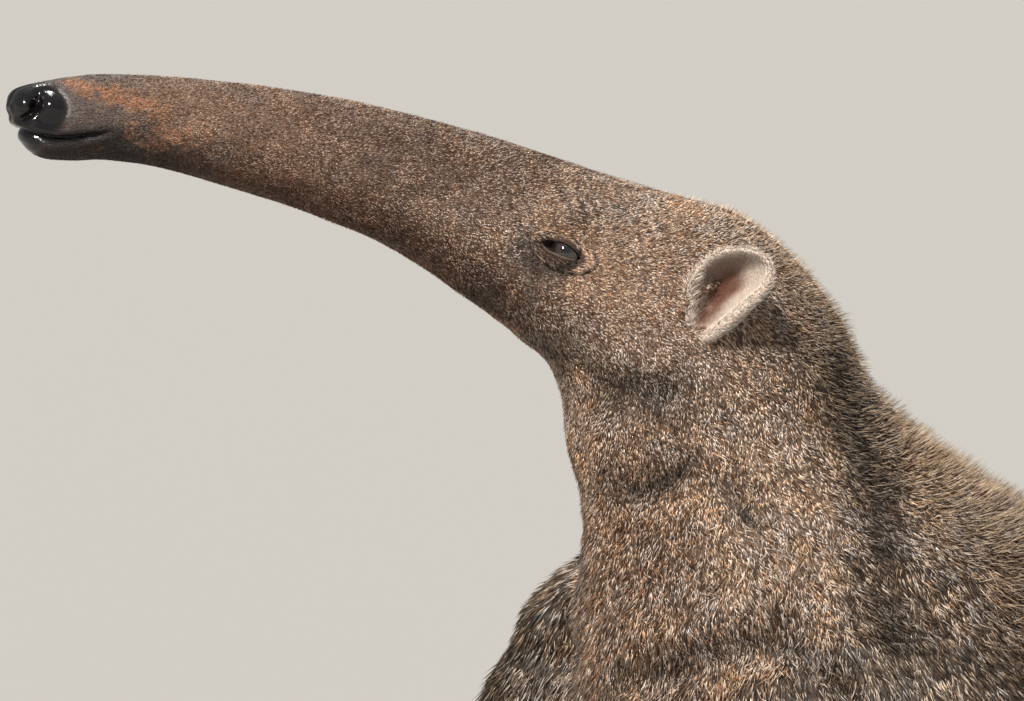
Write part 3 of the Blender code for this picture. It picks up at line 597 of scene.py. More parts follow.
def triangles(obj):
    """The corners of an object's triangles, and their areas."""
    obj.data.calc_loop_triangles()
    faces = np.empty(len(obj.data.loop_triangles) * 3, np.int32)
    obj.data.loop_triangles.foreach_get("vertices", faces)
    faces = faces.reshape(-1, 3)
    a, b, c = (vertex_numbers(obj, "co")[faces[:, i]] for i in range(3))
    return faces, np.linalg.norm(np.cross(b - a, c - a), axis=1) / 2


def corner_shares(count, rand):
    """Random places in triangles, as shares of their corners."""
    first, second = np.sqrt(rand.random(count)), rand.random(count)
    return np.column_stack((1 - first, first * (1 - second), first * second))


def give_attribute(obj, name, values):
    """Stores a number, a vector or a colour for each vertex."""
    kind = {1: "FLOAT", 3: "FLOAT_VECTOR", 4: "FLOAT_COLOR"}[values.shape[1]]
    field = {1: "value", 3: "vector", 4: "color"}[values.shape[1]]
    made = obj.data.attributes.new(name, kind, "POINT")
    made.data.foreach_set(field, values.astype(np.float32).ravel())


def give_colour(obj, colours):
    give_attribute(obj, "Tint", np.column_stack((colours, np.ones(len(colours)))))


def evaluated(obj):
    """The object's mesh with its modifiers applied, which are then removed."""
    bpy.context.view_layer.update()
    graph = bpy.context.evaluated_depsgraph_get()
    made = bpy.data.meshes.new_from_object(obj.evaluated_get(graph))
    obj.modifiers.clear()
    obj.data = made
    return obj


def fused(objects, cell, name):
    """One closed surface round several closed pieces, on a grid of the given cell."""
    bpy.ops.object.select_all(action="DESELECT")
    for obj in objects:
        obj.select_set(True)
    bpy.context.view_layer.objects.active = objects[0]
    if len(objects) > 1:
        bpy.ops.object.join()
    whole = objects[0]
    whole.name = name
    modifier = whole.modifiers.new("fuse", "REMESH")
    modifier.mode = "VOXEL"
    modifier.voxel_size = cell
    return evaluated(whole)


def united(obj, others):
    """The union of closed objects as one closed surface."""
    group = bpy.data.collections.new("pieces")
    for other in others:
        group.objects.link(other)
    modifier = obj.modifiers.new("unite", "BOOLEAN")
    modifier.operation = "UNION"
    modifier.operand_type = "COLLECTION"
    modifier.collection = group
    modifier.solver = "MANIFOLD"
    evaluated(obj)
    for other in list(group.objects):
        bpy.data.objects.remove(other)
    bpy.data.collections.remove(group)
    return obj


def smoothed(obj, rounds, keep):
    """Evens the surface out without shrinking it, less where keep is near 1."""
    first, second = edge_ends(obj)
    places = vertex_numbers(obj, "co")
    count = len(places)
    links = np.bincount(first, minlength=count) + np.bincount(second, minlength=count)
    loose = (1 - keep(places))[:, None]
    for step in (0.60, -0.62) * rounds:
        total = neighbour_sum(places, first, second, count)
        places = places + (total / links[:, None] - places) * step * loose
    set_places(obj, places)


def neighbour_sum(values, first, second, count):
    total = np.empty((count, values.shape[1]))
    for axis in range(values.shape[1]):
        total[:, axis] = np.bincount(first, values[second, axis], count)
        total[:, axis] += np.bincount(second, values[first, axis], count)
    return total


# Skin


def head_relief(places):
    """How far the skin of the head stands out of its plain form."""
    x, y, z = np.abs(places[:, 0]), places[:, 1], places[:, 2]
    sides = rise(x, 0.004, 0.009)
    out = np.zeros(len(x))
    # Nose: a comma of a nostril between the pad in front and the wing behind it
    nostril = line_distance(NOSTRIL_LINE, y, z)
    wing = np.hypot(y + 0.4170, z - 0.7796)
    out -= 0.0032 * bell(nostril, 0.0011) * sides
    out -= 0.0034 * bell(np.hypot(y + 0.4236, z - 0.7800), 0.0017) * sides
    out += (0.0030 * bell(wing, 0.0032) - 0.0007 * bell(wing - 0.0074, 0.0012)) * sides
    out += 0.0010 * bell(np.hypot(y + 0.4292, z - 0.7820), 0.0035)
    out -= 0.0009 * bell(x, 0.0011) * rise(-y, 0.418, 0.424) * rise(z, 0.771, 0.775)
    # Lips rolled along the slit of the mouth, and a full chin
    slit = line_distance(MOUTH_LINE, y, z)
    front = rise(-y, 0.3850, 0.3990)
    out -= 0.0024 * bell(slit, 0.00070) * front
    out += 0.0009 * bell(slit - 0.0026, 0.0012) * front
    out += 0.0015 * rise(-y, 0.3850, 0.4050) * rise(0.7655 - z, 0.0, 0.006)
    # Furrow of the lower muzzle, cheek, brow and the hollow before the eye
    below = bell(z - (0.7580 + 0.30 * (y + 0.40)), 0.0035)
    out -= 0.0008 * below * rise(-y, 0.22, 0.30) * (1 - rise(-y, 0.375, 0.385)) * sides
    out += 0.0022 * bell(np.hypot(y + 0.130, z - 0.672), 0.020)
    out -= 0.0020 * bell(np.hypot((y + 0.203) / 1.6, z - 0.706), 0.009) * sides
    out += 0.0020 * bell(np.hypot((y + 0.174) / 1.5, z - 0.7245), 0.0060) * sides
    # Edge of the jaw over the throat, and the wrinkles before the ear
    jaw = line_distance(JAW_LINE, y, z)
    under = line_distance(JAW_LINE, y - 0.003, z + 0.010)
    wide = rise(x, 0.012, 0.030)
    out += (0.0016 * bell(jaw, 0.0055) - 0.0052 * bell(under, 0.0075)) * wide
    return out + 0.0007 * wrinkles(places)


def neck_relief(places):
    """Folds and swellings of the throat, neck and breast."""
    x, y, z = np.abs(places[:, 0]), places[:, 1], places[:, 2]
    out = 0.0060 * bell(np.hypot((y + 0.160) / 1.3, z - 0.6110), 0.013) * rise(x, 0.0, 0.020)
    for height in marked(y, z, NECK_FORMS):
        out += height * rise(x, 0.012, 0.040)
    return out


def wrinkles(places):
    """Upright wrinkles of the brow and the side of the head, -1 to 1."""
    x, y, z = np.abs(places[:, 0]), places[:, 1], places[:, 2]
    where = rise(x, 0.016, 0.030) * rise(z - 0.5 * (y + 0.15), 0.690, 0.708)
    where *= rise(y, -0.215, -0.170) * (1 - rise(y, -0.112, -0.096))
    wave = (y + 0.12 * z) / 0.0062 * 2 * math.pi
    return np.sin(wave + 3.4 * cloud(places, 0.014)) * where * (0.5 + 0.7 * cloud(places, 0.009))


def fold_shade(x, y, z):
    """Painted shade: how much the coat is darkened in the folds of head, throat and neck, under the jaw and
    behind the ear.
    """
    sides = rise(x, 0.012, 0.030)
    return np.max([*(dark * sides for dark in marked(y, z, PAINTED_SHADE_MARKS)), *marked(y, z, PAINTED_CHIN_SHADOW)], axis=0)


def fold_light(x, y, z):
    """Painted light: how much the coat is brightened on the ridges beside those folds."""
    return np.max([*marked(y, z, PAINTED_RIDGE_LIGHT)], axis=0) * rise(x, 0.012, 0.030)


def dents(places):
    """Hollows of the skin under the lids and in the ears."""
    found = np.zeros(len(places))
    for mirror in (1, -1):
        back, up, out = eye_turn(mirror)
        away = places - (EYE_PLACE + EYEBALL_SHIFT) * (mirror, 1, 1)
        reach = np.hypot(away @ back / 1.5, away @ up)
        found += 0.0068 * bell(reach, 0.0044) * (np.abs(away @ out) < 0.02)
        found += 0.0120 * in_ear(places, mirror)
    return found


def in_ear(places, mirror):
    """1 on the skin that the ear's hollow takes up, 0 outside its edge."""
    along, side, front = ((places - EAR_ROOT * (mirror, 1, 1)) @ ear_turn(mirror)).T
    reach = np.hypot((along - 0.0160) / 0.0130, (side + 0.0038) / 0.0080)
    return (1 - rise(reach, 0.70, 1.0)) * (np.abs(front) < 0.03)


def ear_turn(mirror):
    """Directions along the ear, across it to the rear and out of it, as columns."""
    along = unit((EAR_TIP - EAR_ROOT) * (mirror, 1, 1))
    front = EAR_FACING * (mirror, 1, 1)
    front = unit(front - along * dot(front, along))
    return np.column_stack((along, np.cross(along, front) * mirror, front))


def eye_turn(mirror):
    """Directions to the rear, up and out of the eye, slanted as its lids are."""
    out = unit(EYE_FACING * (mirror, 1, 1))
    back = unit(np.cross((0, 0, 1.0), out)) * mirror
    up = unit(np.cross(out, back)) * mirror
    slant = math.radians(-25)
    back = back * math.cos(slant) + up * math.sin(slant)
    return back, unit(np.cross(out, back)) * mirror, out


def head_form():
    """The fine skin of head and neck, by rings along the trunk, densest at the nose."""
    spans = ((0, 6, 90), (6, 11, 72), (11, 14, 52), (14, 17.2, 40))
    t = np.concatenate([np.linspace(a, b, n, endpoint=False) for a, b, n in spans])
    angle = math.pi / 2 + np.linspace(0, 2 * math.pi, 128, endpoint=False)
    rings = trunk_points(*np.meshgrid(t, angle, indexing="ij"))
    # Its end dips into the body, so that the two cross at a shallow angle
    middles = rings.mean(axis=1, keepdims=True)
    rings = middles + (rings - middles) * (1 - 0.08 * rise(t, 16.1, 17.2))[:, None, None]
    front = rings[0].mean(axis=0)
    cap = []
    for turn in np.radians((12, 30, 48, 66, 82)):
        ring = front + (rings[0] - front) * math.sin(turn)
        cap.append(ring - np.array((0, 0.0016 * math.cos(turn) ** 2, 0)))
    head = scratch("skin", tube(np.concatenate((cap, rings))))
    push(head, head_relief)
    push(head, neck_relief)
    HIDE["head"] = surface_tree(head)
    push(head, lambda places: -dents(places))
    return head


def surface_tree(obj):
    mesh = bmesh.new()
    mesh.from_mesh(obj.data)
    tree = BVHTree.FromBMesh(mesh)
    mesh.free()
    return tree


def foot_forms(name):
    """The forms of a foot: its last stretch of leg, sole, toes or fingers."""
    mirror, stride = side_of(name), STRIDE[name]
    leg = leg_points(name, 60, 24)[0]
    keep = [ring for ring in leg if ring[:, 2].mean() < 0.075]
    made = [scratch("foot", tube(np.array(keep)))]
    toes = []
    if name.startswith("hind"):
        foot = limb_points(HIND_FOOT, 14, 24, mirror, lambda height: stride)[0]
        made.append(scratch("foot", tube(foot)))
        for place, heading in hind_toes(name):
            toes.append((place, heading, TOE_LENGTH, TOE_RADIUS))
    else:
        for place, heading, claw in fore_fingers(name):
            toes.append((place - heading * FINGER_LENGTH, heading, FINGER_LENGTH, claw.radius * 1.4))
        for off, high, radius in KNUCKLES:
            place = np.array((0.097 + off, -0.066 + 8.0 * off**2, high))
            place = place * (mirror, 1, 1) + (0, stride, 0)
            heading = unit(np.array((mirror * off * 6, -1.0, -0.10)))
            toes.append((place, heading, KNUCKLE_LENGTH, radius))
    for place, heading, length, radius in toes:
        side = unit(np.cross(heading, (0, 0, 1)))
        up = np.cross(side, heading)
        angle = np.linspace(0, 2 * math.pi, 16, endpoint=False)[:, None]
        around = side * np.cos(angle) + up * np.sin(angle)
        rings = [place + heading * length * s + around * radius * 0.96 * r for s, r in TOE_RINGS]
        made.append(scratch("toe", tube(np.array(rings))))
    return made


def hind_toes(name):
    mirror = side_of(name)
    found = []
    for i in range(5):
        off = i - 2
        place = np.array(HIND_CLAW.place) + (off * TOE_SPREAD, STRIDE[name] + 0.0022 * off**2, 0)
        heading = unit(np.array((HIND_CLAW.heading[0] * off, -1.0, -0.05)))
        found.append((place * (mirror, 1, 1), heading * (mirror, 1, 1)))
    return found


def fore_fingers(name):
    mirror = side_of(name)
    found = []
    for claw in FORE_CLAWS:
        place = np.array(claw.place) * (mirror, 1, 1) + (0, STRIDE[name], 0)
        found.append((place, unit(np.array(claw.heading) * (mirror, 1, 1)), claw))
    return found


def body_form():
    """Trunk and legs fused and evened out, with finer feet."""
    t = np.linspace(13.8, TRUNK_END, 110)
    angle = math.pi / 2 + np.linspace(0, 2 * math.pi, 40, endpoint=False)
    pieces = [scratch("trunk", tube(trunk_points(*np.meshgrid(t, angle, indexing="ij"))))]
    for name in LEGS:
        pieces.append(scratch("leg", tube(leg_points(name, 40, 24)[0])))
    body = fused(pieces, sizes().body_cell, "body")
    smoothed(body, 12, lambda places: 1 - rise(places[:, 2], 0.06, 0.16) * 0.98)
    push(body, neck_relief)
    feet = []
    for name in LEGS:
        foot = fused(foot_forms(name), sizes().foot_cell, "foot")
        smoothed(foot, 3, lambda places: np.zeros(len(places)))
        push(foot, lambda places: np.full(len(places), 0.0006))
        feet.append(foot)
    return united(body, feet)


def guide_rows():
    """Places of the plain forms with what the coat needs there, for the skin to look up."""
    count = 641
    along = np.linspace(0, TRUNK_END, count)
    t, angle = np.meshgrid(along, np.radians(np.arange(-180, 180, 6)), indexing="ij")
    ahead = trunk_points(np.maximum(t - 0.2, 0), angle)
    lie = unit(trunk_points(np.minimum(t + 0.2, TRUNK_END), angle) - ahead)
    middle = trunk_points(along, np.full(count, 0.0)) * (0, 1, 1)
    arc = np.concatenate(((0,), np.cumsum(np.linalg.norm(np.diff(middle, axis=0), axis=1))))
    falls = ((0, 0), (11, 0), (15, 0.18), (18, 0.30), (20, 0.38), (26, 0.50), (29, 0.66), (32, 0.50))
    fall = steps(falls, t) * (1 - np.clip(np.sin(angle), 0, 1) ** 2)
    lie = unit(lie * (1 - fall[..., None]) - np.array((0, 0, 1.0)) * fall[..., None])
    rows = [guide(trunk_points(t, angle), lie, t, arc, angle, 0)]
    for index, name in enumerate(LEGS, 1):
        ring, heading = leg_points(name, 60, 32)
        angle = np.broadcast_to(np.linspace(0, 2 * math.pi, 32, endpoint=False), ring.shape[:2])
        t = np.repeat(np.linspace(0, 9, 60), 32)
        ahead = unit(heading + np.array((0, 0.30, 0)))
        rows.append(guide(ring, ahead, t, np.linspace(0, 0.6, 60), angle, index))
    return np.concatenate(rows)


def guide(places, lie, t, arc, angle, limb):
    """One row for each place: the place, lie, place on the form, arc, cosine, sine and limb."""
    return np.column_stack(
        (
            places.reshape(-1, 3),
            lie.reshape(-1, 3),
            t.ravel(),
            np.repeat(arc, angle.shape[1]),
            np.cos(angle).ravel(),
            np.sin(angle).ravel(),
            np.full(angle.size, limb),
        )
    )


def survey(skin):
    """Keeps, for each vertex of the skin, its place, outward direction, lie and region."""
    rows = guide_rows()
    tree = KDTree(len(rows))
    for i, row in enumerate(rows):
        tree.insert(row[:3], i)
    tree.balance()
    places, out = surface(skin)
    found = rows[[tree.find(place)[1] for place in places]]
    first, second = edge_ends(skin)
    lie = found[:, 3:6]
    for _ in range(5):
        lie = unit(lie + 0.5 * neighbour_sum(lie, first, second, len(places)))
    lie = unit(lie - out * dot(lie, out))
    faces, areas = triangles(skin)
    limbs = found[faces, 10]
    HIDE.update(places=places, out=out, lie=lie, region=found[:, 6:11], faces=faces, areas=areas)
    HIDE["torn"] = limbs.min(axis=1) != limbs.max(axis=1)
    HIDE["middles"] = face_middles()


class Roots:
    """Places on the skin where tufts stand, with all that is known there."""

    def __init__(self, place, out, lie, region):
        self.place, self.out = place, unit(out)
        self.lie = unit(lie - self.out * dot(lie, self.out))
        self.t, self.arc, self.cos, self.sin, self.limb = region.T
        self.x, self.y, self.z = place.T
        self.count = len(place)


def face_middles():
    faces, torn = HIDE["faces"], HIDE["torn"]
    place, out, lie, region = (HIDE[name][faces].mean(axis=1) for name in ("places", "out", "lie", "region"))
    region[torn] = HIDE["region"][faces[torn, 0]]
    return Roots(place, out, lie, region)


def scatter(count, density, rand):
    """Root places spread over the skin by area and density."""
    faces = HIDE["faces"]
    weight = HIDE["areas"] * density(HIDE["middles"])
    # The leftover shares make the spread even instead of clumped
    ends = np.cumsum(weight) / weight.sum()
    chosen = np.searchsorted(ends, (np.arange(count) + rand.random(count)) / count)
    chosen = np.minimum(chosen, len(faces) - 1)
    shares = corner_shares(count, rand)

    def mixed(name):
        return np.einsum("ij,ijk->ik", shares, HIDE[name][faces[chosen]])

    region = mixed("region")
    torn = HIDE["torn"][chosen]
    region[torn] = HIDE["region"][faces[chosen[torn], 0]]
    return Roots(mixed("places"), mixed("out"), mixed("lie"), region)


# Markings, with painted shade and light


def black_band(y, z):
    corners = UPPER_PALE_LINE + LOWER_PALE_LINE + BREAST_CORNERS
    distance = np.minimum(line_distance(UPPER_PALE_LINE, y, z), line_distance(LOWER_PALE_LINE, y, z))
    inside = within(corners, y, z)
    black = np.where(inside, rise(distance, 0.000, 0.010), 0.0)
    pale = bell(distance + np.where(inside, 0.008, 0.0), 0.014)
    return black, pale


def nose_skin(y, z):
    """1 on the bare wet skin round the nostrils, 0 on the hairy muzzle."""
    reach = np.hypot(y + 0.4205, (z - 0.7785) * 0.9)
    found = 1 - rise(reach, 0.0084, 0.0165)
    return np.maximum(found, rise(-y, 0.4180, 0.4230))


def blend(base, other, share):
    return base + (other - base) * np.asarray(share)[:, None]


def markings_and_painted_shade(roots):
    """Colours of the hair's lower part and of its tip at each place, with painted shade and light."""
    x, y, z, t = np.abs(roots.x), roots.y, roots.z, roots.t
    trunk = (roots.limb == 0) * 1.0
    base = np.tile(colour("body") * 0.40, (roots.count, 1))
    tip = np.tile(colour("body") * 1.25, (roots.count, 1))

    def paint(low, high, share):
        nonlocal base, tip
        base, tip = blend(base, np.array(low), share), blend(tip, np.array(high), share)

    def lay(name, share, low=0.58, high=1.30):
        paint(colour(name) * low, colour(name) * high, share)

    # Forelegs, then the trunk from the tail forwards
    fore = (roots.limb == 1) | (roots.limb == 2)
    lay("foreleg", fore * (1 - rise(z, 0.42, 0.49)), 0.5, 1.1)
    lay("tail", rise(t, 26.5, 28.5) * trunk, 0.55, 1.5)
    black, pale = black_band(y, z)
    middle = trunk * rise(t, 16.0, 17.5) * (1 - rise(t, 25.0, 26.0))
    behind = np.where(fore, rise(z, 0.33, 0.36), middle)
    breast = trunk * rise(-y, 0.05, 0.11) * (1 - rise(z, 0.50, 0.56))
    # The photo's side is browner there than most
    dark = np.maximum(black, breast) * behind * (1 - 0.9 * in_view(roots))
    lay("black", dark, 0.7, 1.0)
    lay("pale", pale * behind * (1 - 0.9 * in_view(roots)), 0.9, 1.5)
    lay("neck", trunk * (1 - rise(t, 18.5, 20.5)) * (1 - dark))
    nape = trunk * rise(roots.sin, 0.00, 0.75) * rise(t, 12.8, 14.8) * (1 - rise(t, 22, 25))
    lay("nape", nape * (1 - 0.35 * in_view(roots)), 0.45, 1.0)
    under = trunk * rise(-roots.sin, 0.20, 0.85) * rise(t, 12.0, 14.5) * (1 - rise(t, 18.5, 21))
    lay("throat", under * 0.8 * (1 - dark))
    # Head
    head = trunk * (1 - rise(t + 2.2 * rise(roots.sin, 0.0, 0.8), 13.6, 15.2))
    lay("cheek", head)
    lay("forehead", head * rise(roots.sin, 0.25, 0.85))
    lay("muzzle", head * (1 - rise(t - 1.2 * np.clip(roots.sin, -0.5, 1), 8.6, 11.0)), 0.5, 1.2)
    lower = head * rise(-roots.sin, 0.20, 0.75) * (1 - rise(t, 10.0, 12.0))
    lay("muzzle_under", lower, 0.5, 1.15)
    # Round the eye: dark before and below it, warm above it
    away = np.hypot((y + 0.1860) / 1.5, z - 0.7060 + 0.15 * (y + 0.186))
    lay("bare_skin", head * (1 - rise(away, 0.006, 0.016)) * rise(x, 0.02, 0.03) * 0.85, 0.6, 1.3)
    brow = head * bell(np.hypot((y + 0.172) / 1.5, z - 0.7215), 0.0050)
    paint(tone(96, 66, 42), tone(196, 152, 112), brow * 0.6)
    # Towards the nose: slate above the mouth, nearly black below it
    slate = head * rise(-y, 0.3450, 0.3960)
    paint(tone(52, 44, 41), tone(112, 94, 84), slate)
    chin = head * rise(-y, 0.3000, 0.3900) * rise(-roots.sin, -0.05, 0.35)
    paint(tone(30, 23, 19), tone(64, 48, 38), chin)
    # Soil rubbed into the front of the muzzle, in broken patches
    soil = np.maximum(*(bell(line_distance(path, y, z), 0.0042) for path in SOIL_STREAKS))
    broken = 0.45 * cloud(roots.place, 0.0050) + 0.55 * cloud(roots.place, 0.0016)
    faint = 0.42 * rise(cloud(roots.place, 0.0120), 0.0, 0.6)
    faint = faint * rise(-y, 0.24, 0.30) * (1 - rise(-y, 0.40, 0.41))
    lay("soil", rise(np.maximum(soil, faint) + broken, 0.30, 1.25) * 0.85 * trunk, 0.4, 1.3)
    # Limbs
    edge = 0.012 * cloud(roots.place, 0.012)
    cuff = bell(z - 0.135 + edge, 0.015) + 1 - rise(z + edge, 0.040, 0.080)
    lay("black", fore * np.clip(cuff, 0, 1) * 0.92, 0.7, 1.1)
    lay("hind_leg", (roots.limb > 2) * (1 - rise(z, 0.33, 0.44)), 0.6, 1.5)
    # Painted shade and light of folds and ridges, and the dark skin of nose and lips, where no hair grows
    shade, light = fold_shade(x, y, z) * trunk, fold_light(x, y, z) * trunk
    base = base * (1 - 0.82 * shade)[:, None]
    tip = tip * ((1 - 0.86 * shade) * (1 + 0.5 * light))[:, None]
    # Painted shade and light along the wrinkles, darker in their furrows and paler on their ridges
    painted_wrinkle_light = (1 + 0.42 * wrinkles(roots.place))[:, None]
    base, tip = base * painted_wrinkle_light, tip * painted_wrinkle_light
    lips = rise(-y, 0.3850, 0.4000) * bell(line_distance(MOUTH_LINE, y, z), 0.0030)
    lay("nose", trunk * np.maximum(nose_skin(y, z), lips), 1.0, 1.0)
    return base, tip


# Materials


class Tree:
    """Builds the nodes of a material, whose colour is the piece's own tint."""

    def __init__(self, name, **values):
        self.material = bpy.data.materials.new(name)
        self.material.use_nodes = True
        self.shader = self.material.node_tree.nodes["Principled BSDF"]
        for socket, value in values.items():
            self.feed(self.shader.inputs[socket.replace("_", " ")], value)

    def feed(self, socket, value):
        if isinstance(value, bpy.types.NodeSocket):
            self.material.node_tree.links.new(value, socket)
        else:
            socket.default_value = value

    def node(self, kind, inputs, **settings):
        """Outputs of a new node, with numbers on its sockets or links to them."""
        made = self.material.node_tree.nodes.new(kind)
        for name, value in settings.items():
            setattr(made, name, value)
        for name, value in inputs.items():
            self.feed(made.inputs[name], value)
        return made.outputs

    def attribute(self, name, output):
        return self.node("ShaderNodeAttribute", {}, attribute_name=name)[output]

    def place(self):
        return self.node("ShaderNodeTexCoord", {})["Object"]

    def noise(self, vector, stretch, detail):
        mapped = self.node("ShaderNodeMapping", {"Vector": vector, "Scale": stretch})["Vector"]
        inputs = {"Vector": mapped, "Scale": 1.0, "Detail": detail, "Roughness": 0.6}
        return self.node("ShaderNodeTexNoise", inputs)["Fac"]

    def ranged(self, value, to_low, to_high, low=0.3, high=0.7):
        inputs = {"Value": value, "From Min": low, "From Max": high, "To Min": to_low, "To Max": to_high}
        return self.node("ShaderNodeMapRange", inputs)["Result"]

    def math(self, operation, first, second):
        return self.node("ShaderNodeMath", {0: first, 1: second}, operation=operation)["Value"]

    def bump(self, height, strength, distance, **more):
        inputs = {"Height": height, "Strength": strength, "Distance": distance, **more}
        return self.node("ShaderNodeBump", inputs)["Normal"]

    def done(self, shade, **links):
        """The material, with its tint times a number and what else is linked to its shader."""
        inputs = {0: self.attribute("Tint", "Color"), "Scale": shade}
        tint = self.node("ShaderNodeVectorMath", inputs, operation="SCALE")["Vector"]
        for socket, value in {"Base Color": tint, **links}.items():
            self.feed(self.shader.inputs[socket], value)
        return self.material


def skin_material():
    """Hide under the coat: fine combed streaks, pores, and a wet shine where it is bare."""
    tree = Tree("hide", Specular_IOR_Level=0.45)
    combed, wet = tree.attribute("Combed", "Vector"), tree.attribute("Wet", "Fac")
    streak = tree.noise(combed, (240, 1500, 1500), 3.0)
    fleck = tree.noise(combed, (700, 2300, 2300), 2.0)
    patch = tree.noise(combed, (38, 60, 60), 3.0)
    dry = tree.ranged(wet, 1.0, 0.0, 0.0, 1.0)
    shade = tree.math("MULTIPLY", tree.ranged(streak, 0.45, 1.45), tree.ranged(patch, 0.8, 1.2))
    shade = tree.math("ADD", tree.math("MULTIPLY", shade, dry), wet)
    pores = tree.node("ShaderNodeTexVoronoi", {"Vector": tree.place(), "Scale": 700.0})["Distance"]
    hair = tree.math("MULTIPLY", tree.math("ADD", streak, tree.math("MULTIPLY", fleck, 0.6)), dry)
    leather = tree.math("MULTIPLY", pores, tree.math("MULTIPLY", wet, 0.12))
    normal = tree.bump(tree.math("ADD", hair, leather), 0.7, 0.0009)
    return tree.done(shade, Normal=normal, Roughness=tree.ranged(wet, 0.62, 0.16, 0.0, 1.0))


def hair_material(name, roughness, specular):
    """Hair, with its colour from root to tip and fine change along it."""
    tree = Tree(name, Roughness=roughness, Specular_IOR_Level=specular)
    return tree.done(tree.ranged(tree.noise(tree.place(), (420, 420, 420), 2.0), 0.80, 1.20))


def lid_material():
    """Bare, finely wrinkled skin of the lids."""
    tree = Tree("lid_skin", Roughness=0.42, Specular_IOR_Level=0.5)
    wrinkle = tree.noise(tree.attribute("Combed", "Vector"), (14, 60, 1), 4.0)
    speck = tree.noise(tree.place(), (1500, 1500, 1500), 3.0)
    normal = tree.bump(speck, 0.6, 0.0004, Normal=tree.bump(wrinkle, 0.8, 0.0007))
    return tree.done(tree.ranged(speck, 0.55, 1.5), Normal=normal)


def eye_material():
    """Dark, wet eye."""
    tree = Tree("wet_eye", Roughness=0.06, Specular_IOR_Level=0.6, Coat_Weight=1.0, Coat_Roughness=0.02)
    return tree.done(tree.ranged(tree.noise(tree.place(), (1200, 1200, 1200), 3.0), 0.7, 1.3))


def ear_material():
    """Thin ear skin: pale short hair outside, bare and warm inside."""
    thin = {"Subsurface_Weight": 0.15, "Subsurface_Scale": 0.004}
    tree = Tree("ear_skin", Roughness=0.6, Specular_IOR_Level=0.35, **thin)
    fuzz = tree.noise(tree.place(), (1600, 1600, 700), 3.0)
    return tree.done(tree.ranged(fuzz, 0.65, 1.3), Normal=tree.bump(fuzz, 0.7, 0.0006))


def horn_material():
    """Grooved horn of the claws, paler and worn at the tips."""
    tree = Tree("claw_horn", Specular_IOR_Level=0.5)
    grain = tree.noise(tree.attribute("Combed", "Vector"), (3, 40, 1), 5.0)
    dirt = tree.noise(tree.place(), (160, 160, 160), 4.0)
    shade = tree.math("MULTIPLY", tree.ranged(grain, 0.65, 1.35), tree.ranged(dirt, 0.75, 1.2))
    roughness = tree.ranged(dirt, 0.30, 0.55)
    return tree.done(shade, Normal=tree.bump(grain, 0.6, 0.0006), Roughness=roughness)


def floor_material():
    """Plain pale floor."""
    floor = (*colour("floor"), 1.0)
    return Tree("pale_floor", Base_Color=floor, Roughness=0.8, Specular_IOR_Level=0.2).material


def finish(name):
    """The material of that name, made when it is first asked for."""
    makers = {
        "hide": skin_material,
        "short_hair": lambda: hair_material("short_hair", 0.58, 0.35),
        "long_hair": lambda: hair_material("long_hair", 0.5, 0.4),
        "lid_skin": lid_material,
        "wet_eye": eye_material,
        "ear_skin": ear_material,
        "claw_horn": horn_material,
        "pale_floor": floor_material,
    }
    return bpy.data.materials.get(name) or makers[name]()


# Tufts


def cleared(place, lie, out, length, lift):
    """Lifts raised where the skin curves up towards the end of a tuft."""
    ends = place + (lie * np.cos(lift)[:, None] + out * np.sin(lift)[:, None]) * length[:, None]
    over = np.empty(len(ends))
    for i, end in enumerate(ends.tolist()):
        hit, normal = HIDE["tree"].find_nearest(end)[:2]
        over[i] = (Vector(end) - hit).dot(normal)
    need = np.clip(0.14 * length + 0.0003 - over, 0, 0.6 * length)
    return lift + np.arcsin(need / length)


